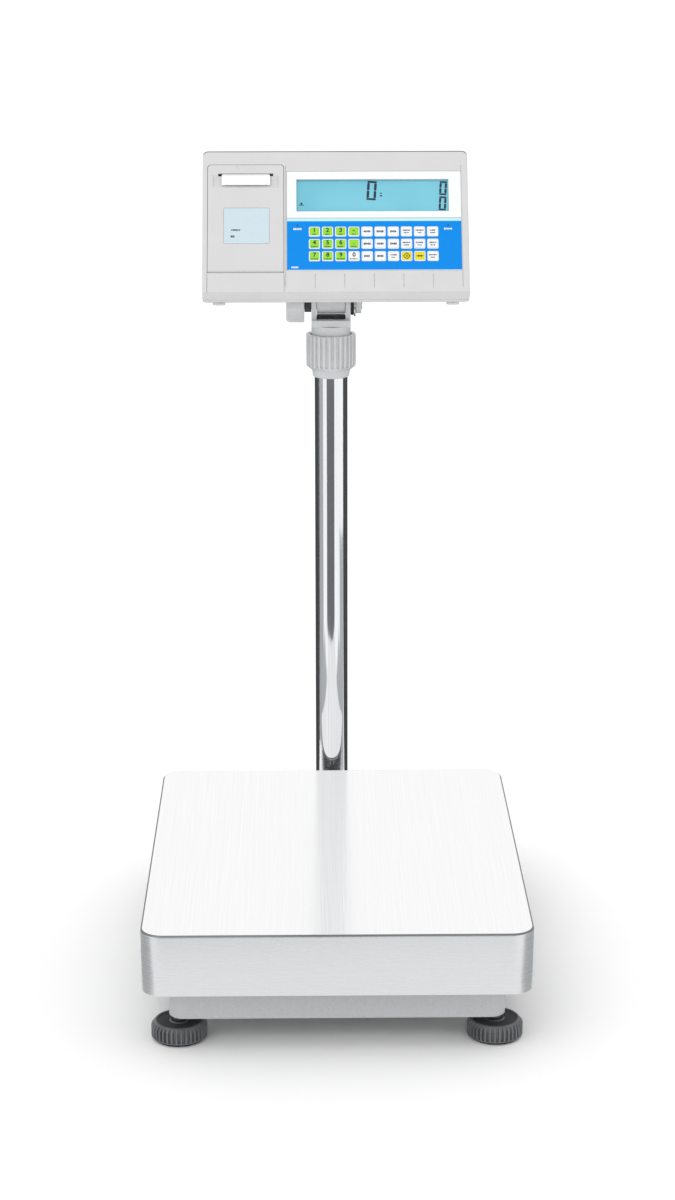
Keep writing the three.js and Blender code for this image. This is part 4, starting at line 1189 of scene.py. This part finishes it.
def makeLabelMarks():
    draw = random.Random(5)
    marks = []
    for name in ("upper", "lower"):
        marks += wordMark(draw, z=labelWords["lift"], **labelWords[name])
    printed = moveBy(joined("door_label_marks", *marks), labelPlace)
    addTrim(printed, "door_label", "label_film", darkInk)


makeLabelMarks()
print("label marks made")


# The camera, the pale floor and soft light.
studio = {
    "cameraPlace": (-0.0302, -2.7226, 1.1648), "pan": -0.72, "pitch": 74.31, "roll": -0.07,
    "lens": 77.97, "sensor": 36, "sight": 200, "floor": 30, "floorThick": 0.02, "world": 1.0,
    "sun": 0.4, "sunPlace": (-1.2, -1.6, 2.4), "softness": 40,
}


# Matt background paper: no gloss, with a faint cloud in its white.
def mattPaper():
    material, tree, shader = newMaterial("mattPaper", "#FFFFFF", 0, 1, Specular_IOR_Level=0)
    cloud = grain(tree, (300, 300, 300), 2)
    tree.links.new(tint(tree, cloud, "#FDFDFD", "#FFFFFF"), shader.inputs["Base Color"])
    return material


def makeCamera():
    scene = bpy.context.scene
    camera = bpy.data.objects.new("camera", bpy.data.cameras.new("camera"))
    camera.data.lens = studio["lens"]
    camera.data.sensor_width = studio["sensor"]
    camera.data.sensor_fit = "AUTO"
    camera.data.clip_end = studio["sight"]
    matrix = Matrix.Translation(studio["cameraPlace"])
    for turn, axis in (("pan", "Z"), ("pitch", "X"), ("roll", "Z")):
        matrix = matrix @ Matrix.Rotation(math.radians(studio[turn]), 4, axis)
    camera.matrix_world = matrix
    bpy.context.collection.objects.link(camera)
    scene.camera = camera
    scene.view_settings.view_transform = "Standard"


def makeFloor():
    wide = studio["floor"]
    floor = block("floor", (-wide, -wide, -studio["floorThick"]), (wide, wide, 0))
    floor.data.materials.append(mattPaper())


def makeLights():
    world = bpy.data.worlds.new("studio")
    world.use_nodes = True
    background = world.node_tree.nodes["Background"]
    background.inputs["Color"].default_value = toLinear("#FFFFFF")
    background.inputs["Strength"].default_value = studio["world"]
    bpy.context.scene.world = world
    lamp = bpy.data.objects.new("key_light", bpy.data.lights.new("key_light", "SUN"))
    lamp.data.energy = studio["sun"]
    lamp.data.angle = math.radians(studio["softness"])
    aim = -Vector(studio["sunPlace"])
    lamp.matrix_world = aim.to_track_quat("-Z", "Y").to_matrix().to_4x4()
    bpy.context.collection.objects.link(lamp)


# Sheets on the floor that only reflections see: they give the chrome and the pan their darker
# lines. The round ones run between two directions from the pillar, in degrees from the front,
# and between two distances. The square ones stand beside the pan, a little higher.
sheets = {
    "height": 0.002, "squareHeight": 0.003, "besidePan": 0.1, "reach": 0.8, "front": -0.4,
    "rear": 0.1, "squareColour": "#AEB0B2", "behindColour": "#26282B", "behindWide": 9,
    "behindLeft": 0.09, "behindRight": 0.05, "behindEnd": 8,
    "round": {
        "sheet_left": {"start": -104, "end": -60, "near": 0.5, "far": 4, "colour": "#A8AAAC"},
        "sheet_in_front": {"start": -32, "end": 21, "near": 1.06, "far": 4.5, "colour": "#5E6064"},
        "sheet_far_right": {"start": 60, "end": 92, "near": 0.36, "far": 1.7, "colour": "#B0B2B4"},
    },
}


def darkSheet(name, points, colour):
    bpy.ops.mesh.primitive_plane_add(size=2)
    sheet = bpy.context.object
    sheet.name = name
    for vertex, point in zip(sheet.data.vertices, points):
        vertex.co = point
    sheet.data.materials.append(newMaterial(name, colour, 0, 0.9)[0])
    sheet.visible_camera = False
    sheet.visible_diffuse = False
    sheet.visible_shadow = False


def roundSheet(name, start, end, near, far, colour):
    back = centreOf("pillar")
    corners = []
    for reach in (near, far):
        for angle in (start, end):
            turn = math.radians(angle)
            x, y = back.x + reach * math.sin(turn), back.y - reach * math.cos(turn)
            corners.append((x, y, sheets["height"]))
    darkSheet(name, corners, colour)


def squareSheet(name, west, east):
    z = sheets["squareHeight"]
    corners = [(x, y, z) for y in (sheets["front"], sheets["rear"]) for x in (west, east)]
    darkSheet(name, corners, sheets["squareColour"])


def makeSheets():
    s = sheets
    z, wide, end = s["height"], s["behindWide"], s["behindEnd"]
    back = centreOf("pillar").y
    left, right = back + s["behindLeft"], back + s["behindRight"]
    corners = [(-wide, left, z), (wide, right, z), (-wide, end, z), (wide, end, z)]
    darkSheet("sheet_behind", corners, s["behindColour"])
    for name, settings in s["round"].items():
        roundSheet(name, **settings)
    near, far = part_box("weighing_pan")[1][0] + s["besidePan"], s["reach"]
    squareSheet("sheet_right", near, far)
    squareSheet("sheet_far_left", -far, -near)


makeCamera()
makeFloor()
makeLights()
makeSheets()
print("studio made")
